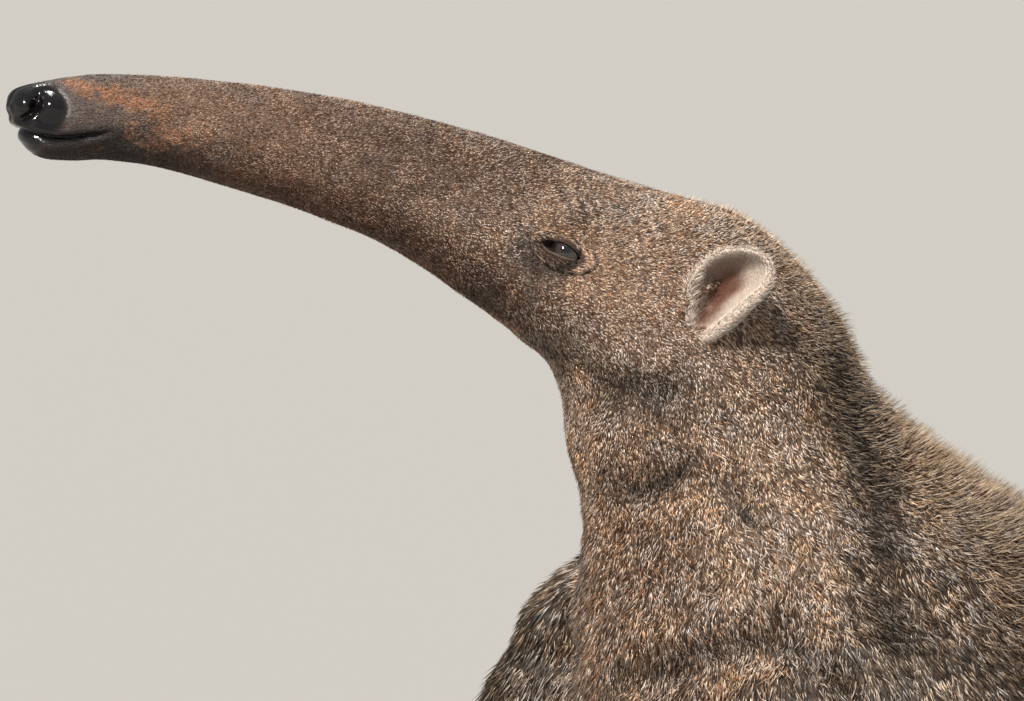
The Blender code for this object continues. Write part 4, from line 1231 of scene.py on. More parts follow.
def grow(name, roots, shape, base, tip, rings, rand, hair):
    """Joined tufts: thin three-sided spikes that bend along the lie, each a closed form."""
    count, unwrap = roots.count, unwrapped(roots)
    length, width, lift, curl, sag, splay = (np.broadcast_to(part, count) for part in shape)
    side = np.cross(roots.lie, roots.out)
    turn = (rand.normal(0, 0.75, count) + 1.1 * cloud(roots.place, 0.0060)) * splay
    lie = unit(roots.lie * np.cos(turn)[:, None] + side * np.sin(turn)[:, None])
    at = roots.place - roots.out * np.minimum(0.0008, length * 0.10)[:, None]
    if length.max() < 0.09 and not name.startswith("coat_ear"):
        lift = cleared(roots.place, lie, roots.out, length, lift)
    down = np.array((0.0, 0.0, -1.0))
    corners = 3 * rings + 1
    verts, tints, patch = (np.empty((count, corners, width)) for width in (3, 3, 2))
    for i in range(rings + 1):
        share = i / rings
        angle = lift * (1 - curl * share)
        heading = lie * np.cos(angle)[:, None] + roots.out * np.sin(angle)[:, None]
        heading = unit(heading + down * (sag * share)[:, None])
        shade = share**0.8
        tint = base * (1 - shade) + tip * shade
        if i == rings:
            verts[:, -1], tints[:, -1] = at, tint
            patch[:, -1] = unwrap + (0.0015, 0.0)
            break
        across = unit(np.cross(heading, roots.out + 1e-4))
        above = np.cross(across, heading)
        half = (width * 0.5 * (1 - share**1.6 * 0.75))[:, None]
        for j, (wide, high) in enumerate(((-1.0, -0.35), (1.0, -0.35), (0.0, 0.75))):
            verts[:, 3 * i + j] = at + across * half * wide + above * half * high
            tints[:, 3 * i + j] = tint
            patch[:, 3 * i + j] = unwrap + (-0.0015 + 0.003 * share, (-0.0015, 0.0015, 0.0)[j])
        at = at + heading * (length / rings)[:, None]
    verts[:, :, 2] = np.maximum(verts[:, :, 2], 0.0012)
    faces = [(0, 2, 1)]
    for i in range(rings - 1):
        low, high = 3 * i, 3 * i + 3
        for j, k in ((0, 1), (1, 2), (2, 0)):
            faces += [(low + j, low + k, high + k), (low + j, high + k, high + j)]
    last, top = 3 * (rings - 1), 3 * rings
    faces += [(last, last + 1, top), (last + 1, last + 2, top), (last + 2, last, top)]
    faces = (np.array(faces)[None] + (np.arange(count) * corners)[:, None, None]).reshape(-1, 3)
    verts = verts.reshape(-1, 3) + OFFSET
    data = bpy.data.meshes.new(name)
    data.vertices.add(len(verts))
    data.vertices.foreach_set("co", verts.astype(np.float32).ravel())
    data.loops.add(faces.size)
    data.loops.foreach_set("vertex_index", faces.astype(np.int32).ravel())
    data.polygons.add(len(faces))
    data.polygons.foreach_set("loop_start", np.arange(0, faces.size, 3, dtype=np.int32))
    data.update(calc_edges=True)
    layer = data.uv_layers.new(name="OFBake")
    layer.data.foreach_set("uv", patch.reshape(-1, 2)[faces.ravel()].astype(np.float32).ravel())
    obj = bpy.data.objects.new(name, data)
    bpy.context.scene.collection.objects.link(obj)
    give_colour(obj, tints.reshape(-1, 3))
    dressed(obj, finish(hair))


def unwrapped(roots):
    """Places of roots on the skin rolled out flat: along it and round it, legs side by side."""
    round_it = (np.arctan2(roots.sin, -roots.cos) + math.pi) / (2 * math.pi)
    found = np.empty((roots.count, 2))
    parts = np.unique(roots.limb)
    for i, part in enumerate(parts):
        chosen = roots.limb == part
        arc = roots.arc[chosen]
        share = (arc - arc.min()) / max(arc.max() - arc.min(), 1e-6)
        found[chosen, 0] = (i + 0.01 + 0.98 * share) / len(parts)
        found[chosen, 1] = 0.01 + 0.98 * round_it[chosen]
    return np.clip(found, 0.004, 0.996)


def in_view(roots):
    """1 in the stretch that the camera sees, from the crown to the breast."""
    found = rise(roots.z, 0.470, 0.500) * (1 - rise(roots.y, 0.05, 0.12))
    return found * rise(roots.x + 0.16 * rise(-roots.y, 0.03, 0.10), -0.06, 0.0)


def covered(roots):
    """True where the lids or the ear's hollow lie over the skin."""
    found = np.zeros(roots.count, bool)
    for mirror in (1, -1):
        back, up, out = eye_turn(mirror)
        away = roots.place - LID_PLACE * (mirror, 1, 1)
        found |= (np.hypot(away @ back / 0.0135, away @ up / 0.0060) < 1) & (np.abs(away @ out) < 0.02)
        found |= in_ear(roots.place, mirror) > 0
    return found


def borrowed(places, out):
    """Roots at places close over the skin, which lend them its lie and region."""
    near = np.flatnonzero(np.linalg.norm(HIDE["places"] - places.mean(axis=0), axis=1) < 0.035)
    gap = np.linalg.norm(places[:, None] - HIDE["places"][near], axis=2)
    nearest = near[gap.argmin(axis=1)]
    return Roots(places, out, HIDE["lie"][nearest], HIDE["region"][nearest])


def spread_on(obj, weight, count, rand):
    """Draws places on an object's faces; gives a function that mixes its vertices' values there."""
    faces, areas = triangles(obj)
    ends = np.cumsum(areas * weight[faces].mean(axis=1))
    chosen = np.minimum(np.searchsorted(ends / ends[-1], rand.random(count)), len(faces) - 1)
    shares = corner_shares(count, rand)
    return lambda values: np.einsum("ij,ijk->ik", shares, values[faces[chosen]])


# Hair of the trunk by place along it: tufts in a square metre, length, width, lift, curl, sag,
# splay and how unlike the tufts are in colour
HAIR = np.array(
    (
        (1.9, 2.20e6, 0.0009, 0.00028, 10, 0.5, 0.00, 0.25, 0.65),
        (4.0, 1.60e6, 0.0015, 0.00034, 14, 0.5, 0.00, 0.34, 0.85),
        (8.0, 0.72e6, 0.0026, 0.00046, 24, 0.5, 0.00, 0.46, 1.00),
        (11.0, 0.50e6, 0.0034, 0.00056, 28, 0.5, 0.04, 0.54, 1.10),
        (13.0, 0.40e6, 0.0046, 0.00064, 28, 0.6, 0.08, 0.54, 1.10),
        (15.0, 0.30e6, 0.0070, 0.00072, 26, 0.7, 0.12, 0.52, 1.10),
        (17.0, 0.21e6, 0.0110, 0.00094, 24, 0.8, 0.18, 0.50, 1.05),
        (18.6, 0.14e6, 0.0160, 0.00115, 22, 0.8, 0.22, 0.46, 1.00),
        (20.0, 0.075e6, 0.0250, 0.00155, 20, 0.8, 0.28, 0.40, 0.90),
        (22.5, 0.030e6, 0.0480, 0.00235, 15, 0.9, 0.36, 0.28, 0.75),
        (24.5, 0.019e6, 0.0850, 0.00320, 12, 1.0, 0.42, 0.25, 0.60),
        (27.6, 0.019e6, 0.1050, 0.00360, 10, 1.0, 0.45, 0.22, 0.55),
    )
)
# How much denser, shorter and thinner the tufts are in the photo's view, by place on the trunk
FINER = np.array(
    (
        (1.9, 1.0, 1.00, 1.00),
        (5.0, 1.1, 0.85, 0.95),
        (8.0, 2.6, 0.66, 0.88),
        (11.0, 3.5, 0.64, 0.80),
        (13.0, 4.0, 0.60, 0.80),
        (15.0, 4.0, 0.54, 0.92),
        (17.0, 5.0, 0.44, 0.78),
        (18.6, 7.0, 0.42, 0.66),
        (20.0, 12.0, 0.36, 0.54),
        (22.5, 16.0, 0.30, 0.42),
    )
)

# Coat pieces: the stretch of trunk that each fades into and out of, and rings of a tuft
Coat = namedtuple("Coat", "name stretch rings hair")
TRUNK_COATS = (
    Coat("coat_muzzle", (1.9, 2.3, 7.0, 8.6), 1, "short_hair"),
    Coat("coat_head", (7.0, 8.6, 10.6, 11.8), 1, "short_hair"),
    Coat("coat_cheeks", (10.6, 11.8, 14.0, 15.2), 1, "short_hair"),
    Coat("coat_neck", (14.0, 15.2, 17.6, 18.8), 1, "short_hair"),
    Coat("coat_shoulders", (17.6, 18.8, 21.4, 22.8), 1, "long_hair"),
    Coat("coat_flanks", (21.4, 22.8, 27.2, 27.8), 3, "long_hair"),
)
MOST_TRIANGLES = 190000

# Length of the legs' hair by height, in front and added behind
FORE_HAIR = (
    ((0.0, 0.003), (0.05, 0.005), (0.10, 0.009), (0.22, 0.020), (0.36, 0.030), (0.47, 0.026), (0.52, 0.016)),
    ((0.0, 0.0), (0.10, 0.010), (0.16, 0.034), (0.24, 0.044), (0.33, 0.024), (0.45, 0.0)),
)
HIND_HAIR = (
    ((0.0, 0.004), (0.05, 0.007), (0.10, 0.013), (0.18, 0.028), (0.30, 0.044), (0.45, 0.060)),
    ((0.0, 0.0), (0.08, 0.008), (0.16, 0.026), (0.26, 0.030), (0.45, 0.010)),
)


def mixed_tints(roots, rand, unlike):
    """Colours of each tuft: marked colours with painted shade, paler or darker by chance and by clump."""
    base, tip = markings_and_painted_shade(roots)
    place = roots.place
    clump = 0.24 * cloud(place, 0.0024) + 0.36 * cloud(place, 0.0062) + 0.30 * cloud(place, 0.0190)
    chance = rand.random(roots.count) + 0.22 * cloud(place, 0.0030)
    pale, dark = chance > 0.61, chance < 0.40
    grade = np.where(pale, 2.7, np.where(dark, 0.14, 1.0)) ** unlike
    # Pale tufts are creamier, and some clumps are warmer
    cream = tip.mean(axis=1, keepdims=True) * (1.10, 1.0, 0.87)
    tip = blend(tip, cream, np.where(pale, 0.72, 0.0))
    warm = 0.09 * cloud(place, 0.0110) + rand.normal(0, 0.05, roots.count)
    hue = np.column_stack((1 + warm, np.ones(roots.count), 1 - 1.4 * warm))
    base = blend(base * (1.12, 0.97, 0.80), tip * 1.6, np.where(pale, 0.75, 0.0) * np.minimum(unlike, 1))
    base = base * np.where(dark, 0.32, 0.85)[:, None]
    clump = np.exp(clump * unlike)
    base, tip = base * hue * clump[:, None], tip * hue * (clump * grade)[:, None]
    # Keeps the hue of what would be brighter than any hair is
    base, tip = (part / np.maximum(part.max(axis=1, keepdims=True) / 0.86, 1) for part in (base, tip))
    return base, tip


def trunk_coat(coat):
    """Grows one piece of the trunk's coat from the table of its hair."""
    rand = np.random.default_rng(sizes().seed + len(coat.name))
    first, full, fading, last = coat.stretch

    def density(roots):
        t = roots.t
        keep = (roots.limb == 0) & ~covered(roots)
        share = rise(t, first, full) * (1 - rise(t, fading, last))
        seen = in_view(roots) * (steps(FINER[:, (0, 1)], t) - 1)
        return keep * share * steps(HAIR[:, (0, 1)], t) * (1 + seen) * (1 - nose_skin(roots.y, roots.z))

    count = int((HIDE["areas"] * density(HIDE["middles"])).sum())
    count = min(count, MOST_TRIANGLES // (6 * coat.rings - 2))
    roots = scatter(count, density, rand)
    length, width, lift, curl, sag, splay, unlike = (
        steps(HAIR[:, (0, column)], roots.t) for column in range(2, 9)
    )
    seen = in_view(roots)
    length = length * (1 - seen * (1 - steps(FINER[:, (0, 2)], roots.t)))
    width = width * (1 - seen * (1 - steps(FINER[:, (0, 3)], roots.t)))
    length = length * np.exp(np.clip(rand.normal(0, 0.20, count), -0.4, 0.35))
    width = width * rand.uniform(0.7, 1.3, count)
    lift = np.radians(lift * (1 + 0.5 * cloud(roots.place, 0.0080)) + rand.normal(0, 4, count))
    length, width = length * sizes().coat_length, width * sizes().coat_width
    base, tip = mixed_tints(roots, rand, unlike)
    shape = (length, width, lift, curl, sag, splay)
    grow(coat.name, roots, shape, base, tip, coat.rings, rand, coat.hair)


def standing_coat(name, count, rings, keep, shape, seed, pale=0.0):
    """Grows hair that stands off the back or hangs from the tail."""
    rand = np.random.default_rng(sizes().seed + seed)
    roots = scatter(count, keep, rand)
    length, width, lift, curl, sag, splay = shape(roots)
    spread = np.exp(np.clip(rand.normal(0, 0.16, count), -0.35, 0.22))
    length = length * spread * sizes().coat_length
    width = width * rand.uniform(0.75, 1.25, count) * sizes().coat_width
    lift = np.radians(lift + rand.normal(0, 5, count))
    base, tip = mixed_tints(roots, rand, 0.62)
    tip = blend(tip, np.array(tone(228, 202, 168)), pale * rand.random(count))
    shape = (length, width, lift, curl, sag, splay)
    grow(name, roots, shape, base, tip, rings, rand, "long_hair")


def bristle_place(roots):
    keep = (roots.limb == 0) & (roots.sin > 0.30)
    share = rise(roots.t, 11.6, 13.4) * (1 - rise(roots.t, 21.6, 22.6)) * rise(roots.sin, 0.30, 0.80)
    return keep * share * (1 + 3.0 * in_view(roots))


def bristle_shape(roots):
    """Bristles that stand off the nape and withers."""
    seen = in_view(roots)
    rows = ((11.6, 0.003), (13.4, 0.006), (15, 0.010), (18, 0.014), (20, 0.020), (22.5, 0.045))
    length = steps(rows, roots.t)
    rows = ((11.6, 0.0028), (13.4, 0.0042), (15, 0.0060), (18, 0.0088), (20, 0.0110), (22.5, 0.0130))
    short = steps(rows, roots.t)
    width = steps(((11.6, 0.0005), (18, 0.0007), (20, 0.0009), (22.5, 0.0020)), roots.t)
    thin = steps(((11.6, 0.0005), (18, 0.0006), (22.5, 0.0008)), roots.t)
    lift = 30 + 22 * rise(roots.sin, 0.5, 1.0) + 18 * seen
    length = (length + (short - length) * seen) * (1 + 0.35 * cloud(roots.place, 0.0070))
    return length, width + (thin - width) * seen, lift + 12 * cloud(roots.place, 0.0090), 0.5, 0.05, 0.6


def crest_place(roots):
    keep = (roots.limb == 0) & (roots.sin > 0.62) & (roots.t < 27.6)
    return keep * rise(roots.t, 18.6, 21.5) * (1 + rise(roots.sin, 0.7, 0.95)) * (1 - 0.95 * in_view(roots))


def crest_shape(roots):
    """The mane along the back, longest over the rump."""
    middle = 0.6 + 0.4 * rise(roots.sin, 0.70, 0.97)
    length = steps(((18.6, 0.030), (20, 0.060), (23, 0.130), (27, 0.190)), roots.t) * middle
    width = steps(((18.6, 0.0012), (21, 0.0026), (27, 0.0038)), roots.t)
    return length, width, steps(((18.6, 40), (21, 34), (27, 20)), roots.t) * middle, 1.2, 0.14, 0.16


def tail_place(roots):
    return (roots.limb == 0) * rise(roots.t, 26.8, 27.6) * (1 + 0.8 * rise(-roots.sin, -0.2, 0.6))


def tail_shape(roots):
    """A curtain: longest below, where it hangs, shorter above, where it lies back."""
    above = rise(roots.sin, 0.1, 0.9)
    rows = ((26.8, 0.150), (28, 0.215), (30, 0.250), (31.2, 0.225), (32, 0.165))
    length = steps(rows, roots.t) * (1 - 0.30 * above)
    width = steps(((26.8, 0.0040), (32, 0.0034)), roots.t)
    lift = 5 + 9 * above * (1 - rise(roots.t, 31, 32))
    sag = 0.25 + 0.55 * (1 - above) * (1 - rise(roots.t, 31.0, 32.0))
    return length, width, lift, 1.0, sag, 0.13


def leg_coat(name, legs, heights, count, rings, seed):
    """Coat of a pair of legs between heights: short in front, with a fringe behind."""
    rand = np.random.default_rng(sizes().seed + seed)

    def density(roots):
        keep = (roots.limb == legs[0]) | (roots.limb == legs[1])
        keep &= (roots.z > 0.004) & (roots.out[:, 2] > -0.8)
        low = 1 - rise(roots.z, 0.05, 0.14)
        share = rise(roots.z, *heights[:2]) * (1 - rise(roots.z, *heights[2:]))
        return keep * share * (1 + 13.0 * in_view(roots)) * (1 + 2.4 * low)

    roots = scatter(count, density, rand)
    rear = rise(roots.out[:, 1], 0.1, 0.8)
    plain, fringe = FORE_HAIR if legs[0] == 1 else HIND_HAIR
    length = (steps(plain, roots.z) + steps(fringe, roots.z) * rear) * sizes().coat_length
    length = length * np.exp(np.clip(rand.normal(0, 0.2, count), -0.4, 0.3))
    width = np.interp(length, (0.003, 0.01, 0.03, 0.07), (0.0007, 0.0011, 0.0019, 0.0028))
    length = length * (1 - 0.40 * in_view(roots))
    width = width * (1 - 0.25 * in_view(roots)) * sizes().coat_width
    lift = np.radians(9 + 7 * rear + rand.normal(0, 4, count))
    base, tip = mixed_tints(roots, rand, 0.7 + 0.25 * in_view(roots))
    grow(name, roots, (length, width, lift, 1.0, 0.30, 0.30), base, tip, rings, rand, "long_hair")


# Operators


class MakeSkin(bpy.types.Operator):
    """One skin over head, neck, trunk, tail and legs, inside the solids by the coat's depth"""

    bl_idname = "anteater.make_skin"
    bl_label = "Skin"

    def execute(self, context):
        skin = united(head_form(), [body_form()])
        # Evens out the ring where the fine head form meets the fused body
        seam = ((-0.157, 0.567), (0.001, 0.630))
        smoothed(skin, 12, lambda at: 1 - bell(line_distance(seam, at[:, 1], at[:, 2]), 0.014))
        places = vertex_numbers(skin, "co")
        places[:, 2] = np.maximum(places[:, 2], 0.0004)
        set_places(skin, places)
        survey(skin)
        HIDE["tree"] = surface_tree(skin)
        self.colour_skin(skin, Roots(*(HIDE[name] for name in ("places", "out", "lie", "region"))))
        set_places(skin, places + OFFSET)
        dressed(skin, finish("hide"), ["head", "neck", "torso", "tail", *LEGS])
        return {"FINISHED"}

    def colour_skin(self, skin, roots):
        """Markings, dark where the coat is deep, and what the skin's material reads."""
        base, tip = markings_and_painted_shade(roots)
        trunk, nose = roots.limb == 0, nose_skin(roots.y, roots.z)
        # Darker where the coat is deep: its dark undercoat, and painted shade of the coat over the skin
        depth = 0.26 + 0.60 * (1 - rise(roots.t, 3, 11)) * trunk
        depth = np.maximum(depth, 0.8 * ~trunk * (1 - rise(roots.z, 0.05, 0.16)))
        depth = np.maximum(depth, (nose > 0) * 1.0)
        near = (1 - rise(roots.t, 4, 12)) * trunk
        give_colour(skin, blend(base, tip, 0.10 + 0.30 * near) * depth[:, None])
        lips = bell(line_distance(MOUTH_LINE, roots.y, roots.z), 0.0026) * rise(-roots.y, 0.392, 0.404)
        give_attribute(skin, "Wet", (np.maximum(nose, lips) * trunk)[:, None])
        along, across = np.where(trunk, (roots.arc, roots.z), (-roots.z, roots.y))
        give_attribute(skin, "Combed", np.column_stack((along, roots.x, across)))


class MakeEyes(bpy.types.Operator):
    """Eyeballs with pupil and iris, and the hairy lids round them"""

    bl_idname = "anteater.make_eyes"
    bl_label = "Eyes and lids"

    def execute(self, context):
        for name, mirror in (("left", 1), ("right", -1)):
            place = (EYE_PLACE + EYEBALL_SHIFT) * (mirror, 1, 1)
            self.eyeball(name, place, eye_turn(mirror)[2])
            self.lids(name, place, LID_PLACE * (mirror, 1, 1), eye_turn(mirror))
        return {"FINISHED"}

    def eyeball(self, name, place, out):
        mesh = bmesh.new()
        matrix = Matrix.Translation(place) @ Vector(out).to_track_quat("Z", "Y").to_matrix().to_4x4()
        bmesh.ops.create_uvsphere(
            mesh, u_segments=48, v_segments=40, radius=sizes().eye_radius, matrix=matrix
        )
        eye = scratch(f"eyeball_{name}", mesh)
        away = unit(vertex_numbers(eye, "co") - place) @ out
        angle = np.arccos(np.clip(away, -1, 1))
        tint = np.tile(tone(24, 17, 16), (len(angle), 1))
        tint = blend(tint, np.array(tone(40, 27, 22)), 1 - rise(angle, 0.62, 0.72))
        tint = blend(tint, np.array(tone(10, 9, 12)), 1 - rise(angle, 0.30, 0.36))
        give_colour(eye, tint)
        set_places(eye, vertex_numbers(eye, "co") + OFFSET)
        dressed(eye, finish("wet_eye"), [f"eye_{name}"])

    def lids(self, name, ball, centre, turn):
        """Rings from the rim of the opening out to the skin, and back under it."""
        back, up, out = turn
        ball_back, ball_up, ball_out = (float(np.dot(ball - centre, way)) for way in turn)
        around = np.linspace(0, 2 * math.pi, LID_SIDES, endpoint=False)
        upper = np.sin(around) > 0
        rings = []
        for spread, height, follow in LID_RINGS:
            half = np.where(upper, *LID_HALF_HEIGHTS)
            across = LID_HALF_LENGTH * (1 + (spread - 1) * 0.42) * np.cos(around)
            high = half * (1 + (spread - 1) * 1.25) * np.sin(around)
            high = high * np.abs(np.sin(around)) ** (0.5 / spread)
            places = []
            for u, v in zip(across, high):
                flat = centre + back * u + up * v
                hit = HIDE["head"].ray_cast(Vector(flat + out * 0.05), Vector(-out))[0]
                skin = float(np.dot(np.array(hit) - centre, out))
                reach = (u - ball_back) ** 2 + (v - ball_up) ** 2
                dome = ball_out + math.sqrt(max(sizes().eye_radius**2 - reach, 0.0)) + 0.0002
                level = max(dome, skin - 0.0007) * (1 - follow) + skin * follow
                level += height * (1.0 if v > 0 else 0.7)
                if height > -0.0013:
                    level = max(level, dome + 0.0002 + 0.0003 * (spread > 1))
                places.append(flat + out * level)
            rings.append(places)
        lids = scratch(f"lids_{name}", tube(np.array(rings), closed=True))
        count = len(LID_RINGS)
        spread = np.repeat([row[0] for row in LID_RINGS], LID_SIDES)
        roots = borrowed(*surface(lids))
        base, tip = markings_and_painted_shade(roots)
        tint = blend(np.tile(colour("bare_skin"), (roots.count, 1)), (base + tip) / 2, rise(spread, 1.5, 2.3))
        lower = np.tile(~upper, count) * bell(spread - 1.10, 0.05)
        tint = blend(tint, np.array(tone(128, 108, 94)), lower * 0.8)
        edge = np.tile(upper, count) * bell(spread - 1.06, 0.10)
        give_colour(lids, tint * (1 - 0.75 * edge)[:, None])
        combed = (spread, np.tile(around * 1.5, count), np.zeros(len(spread)))
        give_attribute(lids, "Combed", np.column_stack(combed))
        hairy = np.repeat(np.arange(count) < HAIRY_LID_RINGS, LID_SIDES)
        self.hair(name, lids, rise(spread, 1.35, 1.9) * hairy)
        set_places(lids, vertex_numbers(lids, "co") + OFFSET)
        dressed(lids, finish("lid_skin"))

    def hair(self, name, lids, weight):
        """The shortest hair, over the folds of the lids."""
        count = 1600
        rand = np.random.default_rng(sizes().seed + (5 if name == "left" else 6))
        mixed = spread_on(lids, weight, count, rand)
        roots = borrowed(*(mixed(values) for values in surface(lids)))
        share = mixed(weight[:, None])[:, 0]
        base, tip = mixed_tints(roots, rand, 1.1)
        lift = np.radians(16 + rand.normal(0, 5, count))
        shape = (0.0012 + 0.0024 * share, 0.00030 + 0.00026 * share, lift, 0.5, 0.0, 0.3)
        grow(f"coat_lids_{name}", roots, shape, base, tip, 1, rand, "short_hair")


class MakeEars(bpy.types.Operator):
    """Rounded ear cups with rolled, hairy edges and bare hollows"""

    bl_idname = "anteater.make_ears"
    bl_label = "Ears"

    def execute(self, context):
        for name, mirror in (("left", 1), ("right", -1)):
            self.ear(name, mirror)
        return {"FINISHED"}

    def ear(self, name, mirror):
        root, turn = EAR_ROOT * (mirror, 1, 1), ear_turn(mirror)
        edge = np.concatenate((EAR_EDGE[-1:], EAR_EDGE, EAR_EDGE[:2]))
        edge = curve(edge, 1 + np.linspace(0, len(EAR_EDGE), EAR_SIDES, endpoint=False))
        rim, roll, canal = edge[:, :3], edge[:, 3:], EAR_CANAL
        away = np.roll(rim, -1, axis=0) - np.roll(rim, 1, axis=0)
        away = unit(np.column_stack((away[:, 1], -away[:, 0], np.zeros(EAR_SIDES))))
        away *= np.sign(dot(away, rim - rim.mean(axis=0)).mean())
        ahead = np.array((0, 0, 1.0))
        around = np.arctan2(rim[:, 1] - canal[1], rim[:, 0] - canal[0])
        foot = np.column_stack((np.cos(around), np.sin(around), -0.4 * np.cos(around)))
        foot = EAR_FOOT + EAR_FOOT_RADIUS * foot
        outer = rim + away * roll * 0.7 - ahead * roll * 0.7
        inner = rim - away * roll
        # Each ring with its kind: 0 at the foot, 0.28 on the rolled edge, 1 in the canal
        rings, kinds = [], []
        for share in np.linspace(0, 1, 11):
            ring = foot + (outer - foot) * (share**0.75, share**0.75, share**2.2)
            rings.append(ring + away * EAR_BELLY * 0.3 * math.sin(math.pi * share) ** 2 * (1 - share))
            kinds.append(0.20 * share)
        for turned in np.radians((-15, 25, 60, 95, 130, 160)):
            rings.append(rim + away * roll * math.cos(turned) + ahead * roll * math.sin(turned))
            kinds.append(0.28)
        for share in np.linspace(0, 0.94, 14):
            ring = inner + (canal - inner) * share
            ring[:, 2] = inner[:, 2] + (canal[2] - inner[:, 2]) * (1 - (1 - share) ** 2.4)
            rings.append(ring)
            kinds.append(0.34 + 0.66 * share)
        ear = scratch(f"ear_cup_{name}", tube(root + np.array(rings) @ turn.T))
        kind = np.repeat(kinds, EAR_SIDES)
        places = vertex_numbers(ear, "co")
        local = (places - root) @ turn
        pale, hollow = colour("ear_rim"), colour("ear_hollow")
        tint = np.tile(pale * 0.80, (len(kind), 1))
        # The far wall keeps its pale hair; the hollow gets painted shadow in front and its warm bare skin low
        # down
        within_rim = rise(kind, 0.34, 0.46)
        front = within_rim * (1 - rise(local[:, 1], -0.0105, -0.0040)) * rise(local[:, 0], 0.012, 0.020)
        tint = blend(tint, np.array(tone(112, 90, 80)), front * 0.85)
        low = line_distance(EAR_FURROW, local[:, 0], local[:, 1])
        deep = np.maximum(bell(low, 0.0034), rise(kind, 0.56, 0.80))
        tint = blend(tint, hollow, within_rim * deep)
        # Painted shade deep in the canal
        tint = blend(tint, np.array(tone(66, 34, 24)), rise(kind, 0.84, 1.0) * 0.85)
        give_colour(ear, tint)
        self.fuzz(name, ear, kind, root, turn)
        set_places(ear, places + OFFSET)
        dressed(ear, finish("ear_skin"), [f"ear_{name}"])

    def fuzz(self, name, ear, kind, root, turn):
        """Short pale hair on back and edge, sparse in the hollow, with wisps at its front."""
        rand = np.random.default_rng(sizes().seed + (3 if name == "left" else 4))
        weight = 1.6 - 1.35 * rise(kind, 0.45, 0.8) + 2.4 * bell(kind - 0.29, 0.05)
        count = 5000
        mixed = spread_on(ear, weight, count, rand)
        place, normal = (mixed(values) for values in surface(ear))
        level = mixed(kind[:, None])[:, 0]
        local = (place - root) @ turn
        lie = unit(turn[:, 0] + normal * 0.2)
        region = np.zeros((count, 5))
        region[:, 1], region[:, 2], region[:, 3] = local[:, 0], np.cos(level * 6), np.sin(level * 6)
        roots = Roots(place, normal, lie, region)
        edge = bell(level - 0.29, 0.06)
        wisps = (1 - rise(local[:, 0], 0.016, 0.026)) * (1 - rise(local[:, 1], -0.008, 0.0)) * (level > 0.2)
        size = (0.0024 + 0.0012 * edge + 0.0034 * wisps) * np.exp(rand.normal(0, 0.2, count))
        shape = (size, 0.00034, np.radians(16 + 14 * edge + 12 * wisps), 0.6, 0.0, 0.35)
        pale, hollow = colour("ear_rim"), colour("ear_hollow")
        low = line_distance(EAR_FURROW, local[:, 0], local[:, 1])
        warm = np.maximum(rise(level, 0.38, 0.5) * bell(low, 0.0038), rise(level, 0.56, 0.80))
        inside = rise(level, 0.34, 0.55)
        base = blend(blend(np.tile(pale * 0.5, (count, 1)), pale * 0.55, inside), hollow * 0.7, warm)
        tip = blend(blend(np.tile(pale * 1.25, (count, 1)), pale * 0.85, inside), hollow * 1.5, warm)
        shade = np.exp(rand.normal(0, 0.30, count) * (1 - 0.5 * inside))[:, None]
        base, tip = np.clip(base * shade, 0, 0.9), np.clip(tip * shade, 0, 0.9)
        grow(f"coat_ear_{name}", roots, shape, base, tip, 1, rand, "short_hair")


class MakeClaws(bpy.types.Operator):
    """Curved, grooved claws on every foot"""

    bl_idname = "anteater.make_claws"
    bl_label = "Claws"

    def execute(self, context):
        for name in LEGS:
            side = name.split("_")[-1]
            if name.startswith("foreleg"):
                bend = np.array((side_of(name) * 0.8, 0.6, 0.0))
                for i, (place, heading, claw) in enumerate(fore_fingers(name), 1):
                    self.claw(f"claw_fore_{side}_{i}", place, heading, claw, bend)
            else:
                bend = np.array((0.0, 0.0, -1.0))
                for i, (place, heading) in enumerate(hind_toes(name), 1):
                    root = place + heading * TOE_LENGTH
                    self.claw(f"claw_hind_{side}_{i}", root, heading, HIND_CLAW, bend)
        return {"FINISHED"}

    def claw(self, name, place, heading, claw, bend):
        """One claw from inside the toe to its blunt tip, narrower below than above."""
        side, start = unit(np.cross(heading, bend)), unit(heading)
        around = np.linspace(0, 2 * math.pi, CLAW_SIDES, endpoint=False)
        # Each ring's middle, heading, size, and share of the length
        root = place - start * 0.004
        rings = [(root, start, 0.9, 0.0), (root + start * 0.0018, start, 1.0, 0.0)]
        heading, at, step = start, place + start * 0.0003, claw.length / CLAW_STEPS
        for i in range(CLAW_STEPS):
            share = i / CLAW_STEPS
            rings.append((at, heading, 1 - 0.85 * share**1.4, share))
            heading = unit(heading + bend * claw.curl / CLAW_STEPS)
            at = at + heading * step
        rings.append((at - heading * step * 0.4, heading, 0.08, 1.0))
        keel = 1 - 0.22 * np.clip(-np.sin(around), 0, 1) ** 2
        loops = []
        for centre, forward, size, share in rings:
            up = unit(np.cross(side, forward))
            flat = side * (np.cos(around) * claw.radius * 0.72 * size)[:, None]
            loops.append(centre + flat + up * (np.sin(around) * keel * claw.radius * size)[:, None])
        obj = scratch(f"{name}_horn", tube(np.array(loops)))
        share = np.repeat([ring[3] for ring in rings], CLAW_SIDES)
        tint = np.tile(colour("horn") * 0.7, (len(share), 1))
        give_colour(obj, blend(tint, np.array(tone(150, 132, 108)), rise(share, 0.35, 1.0) * 0.7))
        combed = (share * 3, np.tile(around, len(rings)), np.zeros(len(share)))
        give_attribute(obj, "Combed", np.column_stack(combed))
        places = vertex_numbers(obj, "co")
        places[:, 2] = np.maximum(places[:, 2], 0.0006)
        set_places(obj, places + OFFSET)
        dressed(obj, finish("claw_horn"), [name])


class GrowShortCoat(bpy.types.Operator):
    """Short hair of muzzle, head and neck"""

    bl_idname = "anteater.grow_short_coat"
    bl_label = "Short coat"

    def execute(self, context):
        for coat in TRUNK_COATS[:4]:
            trunk_coat(coat)
        return {"FINISHED"}


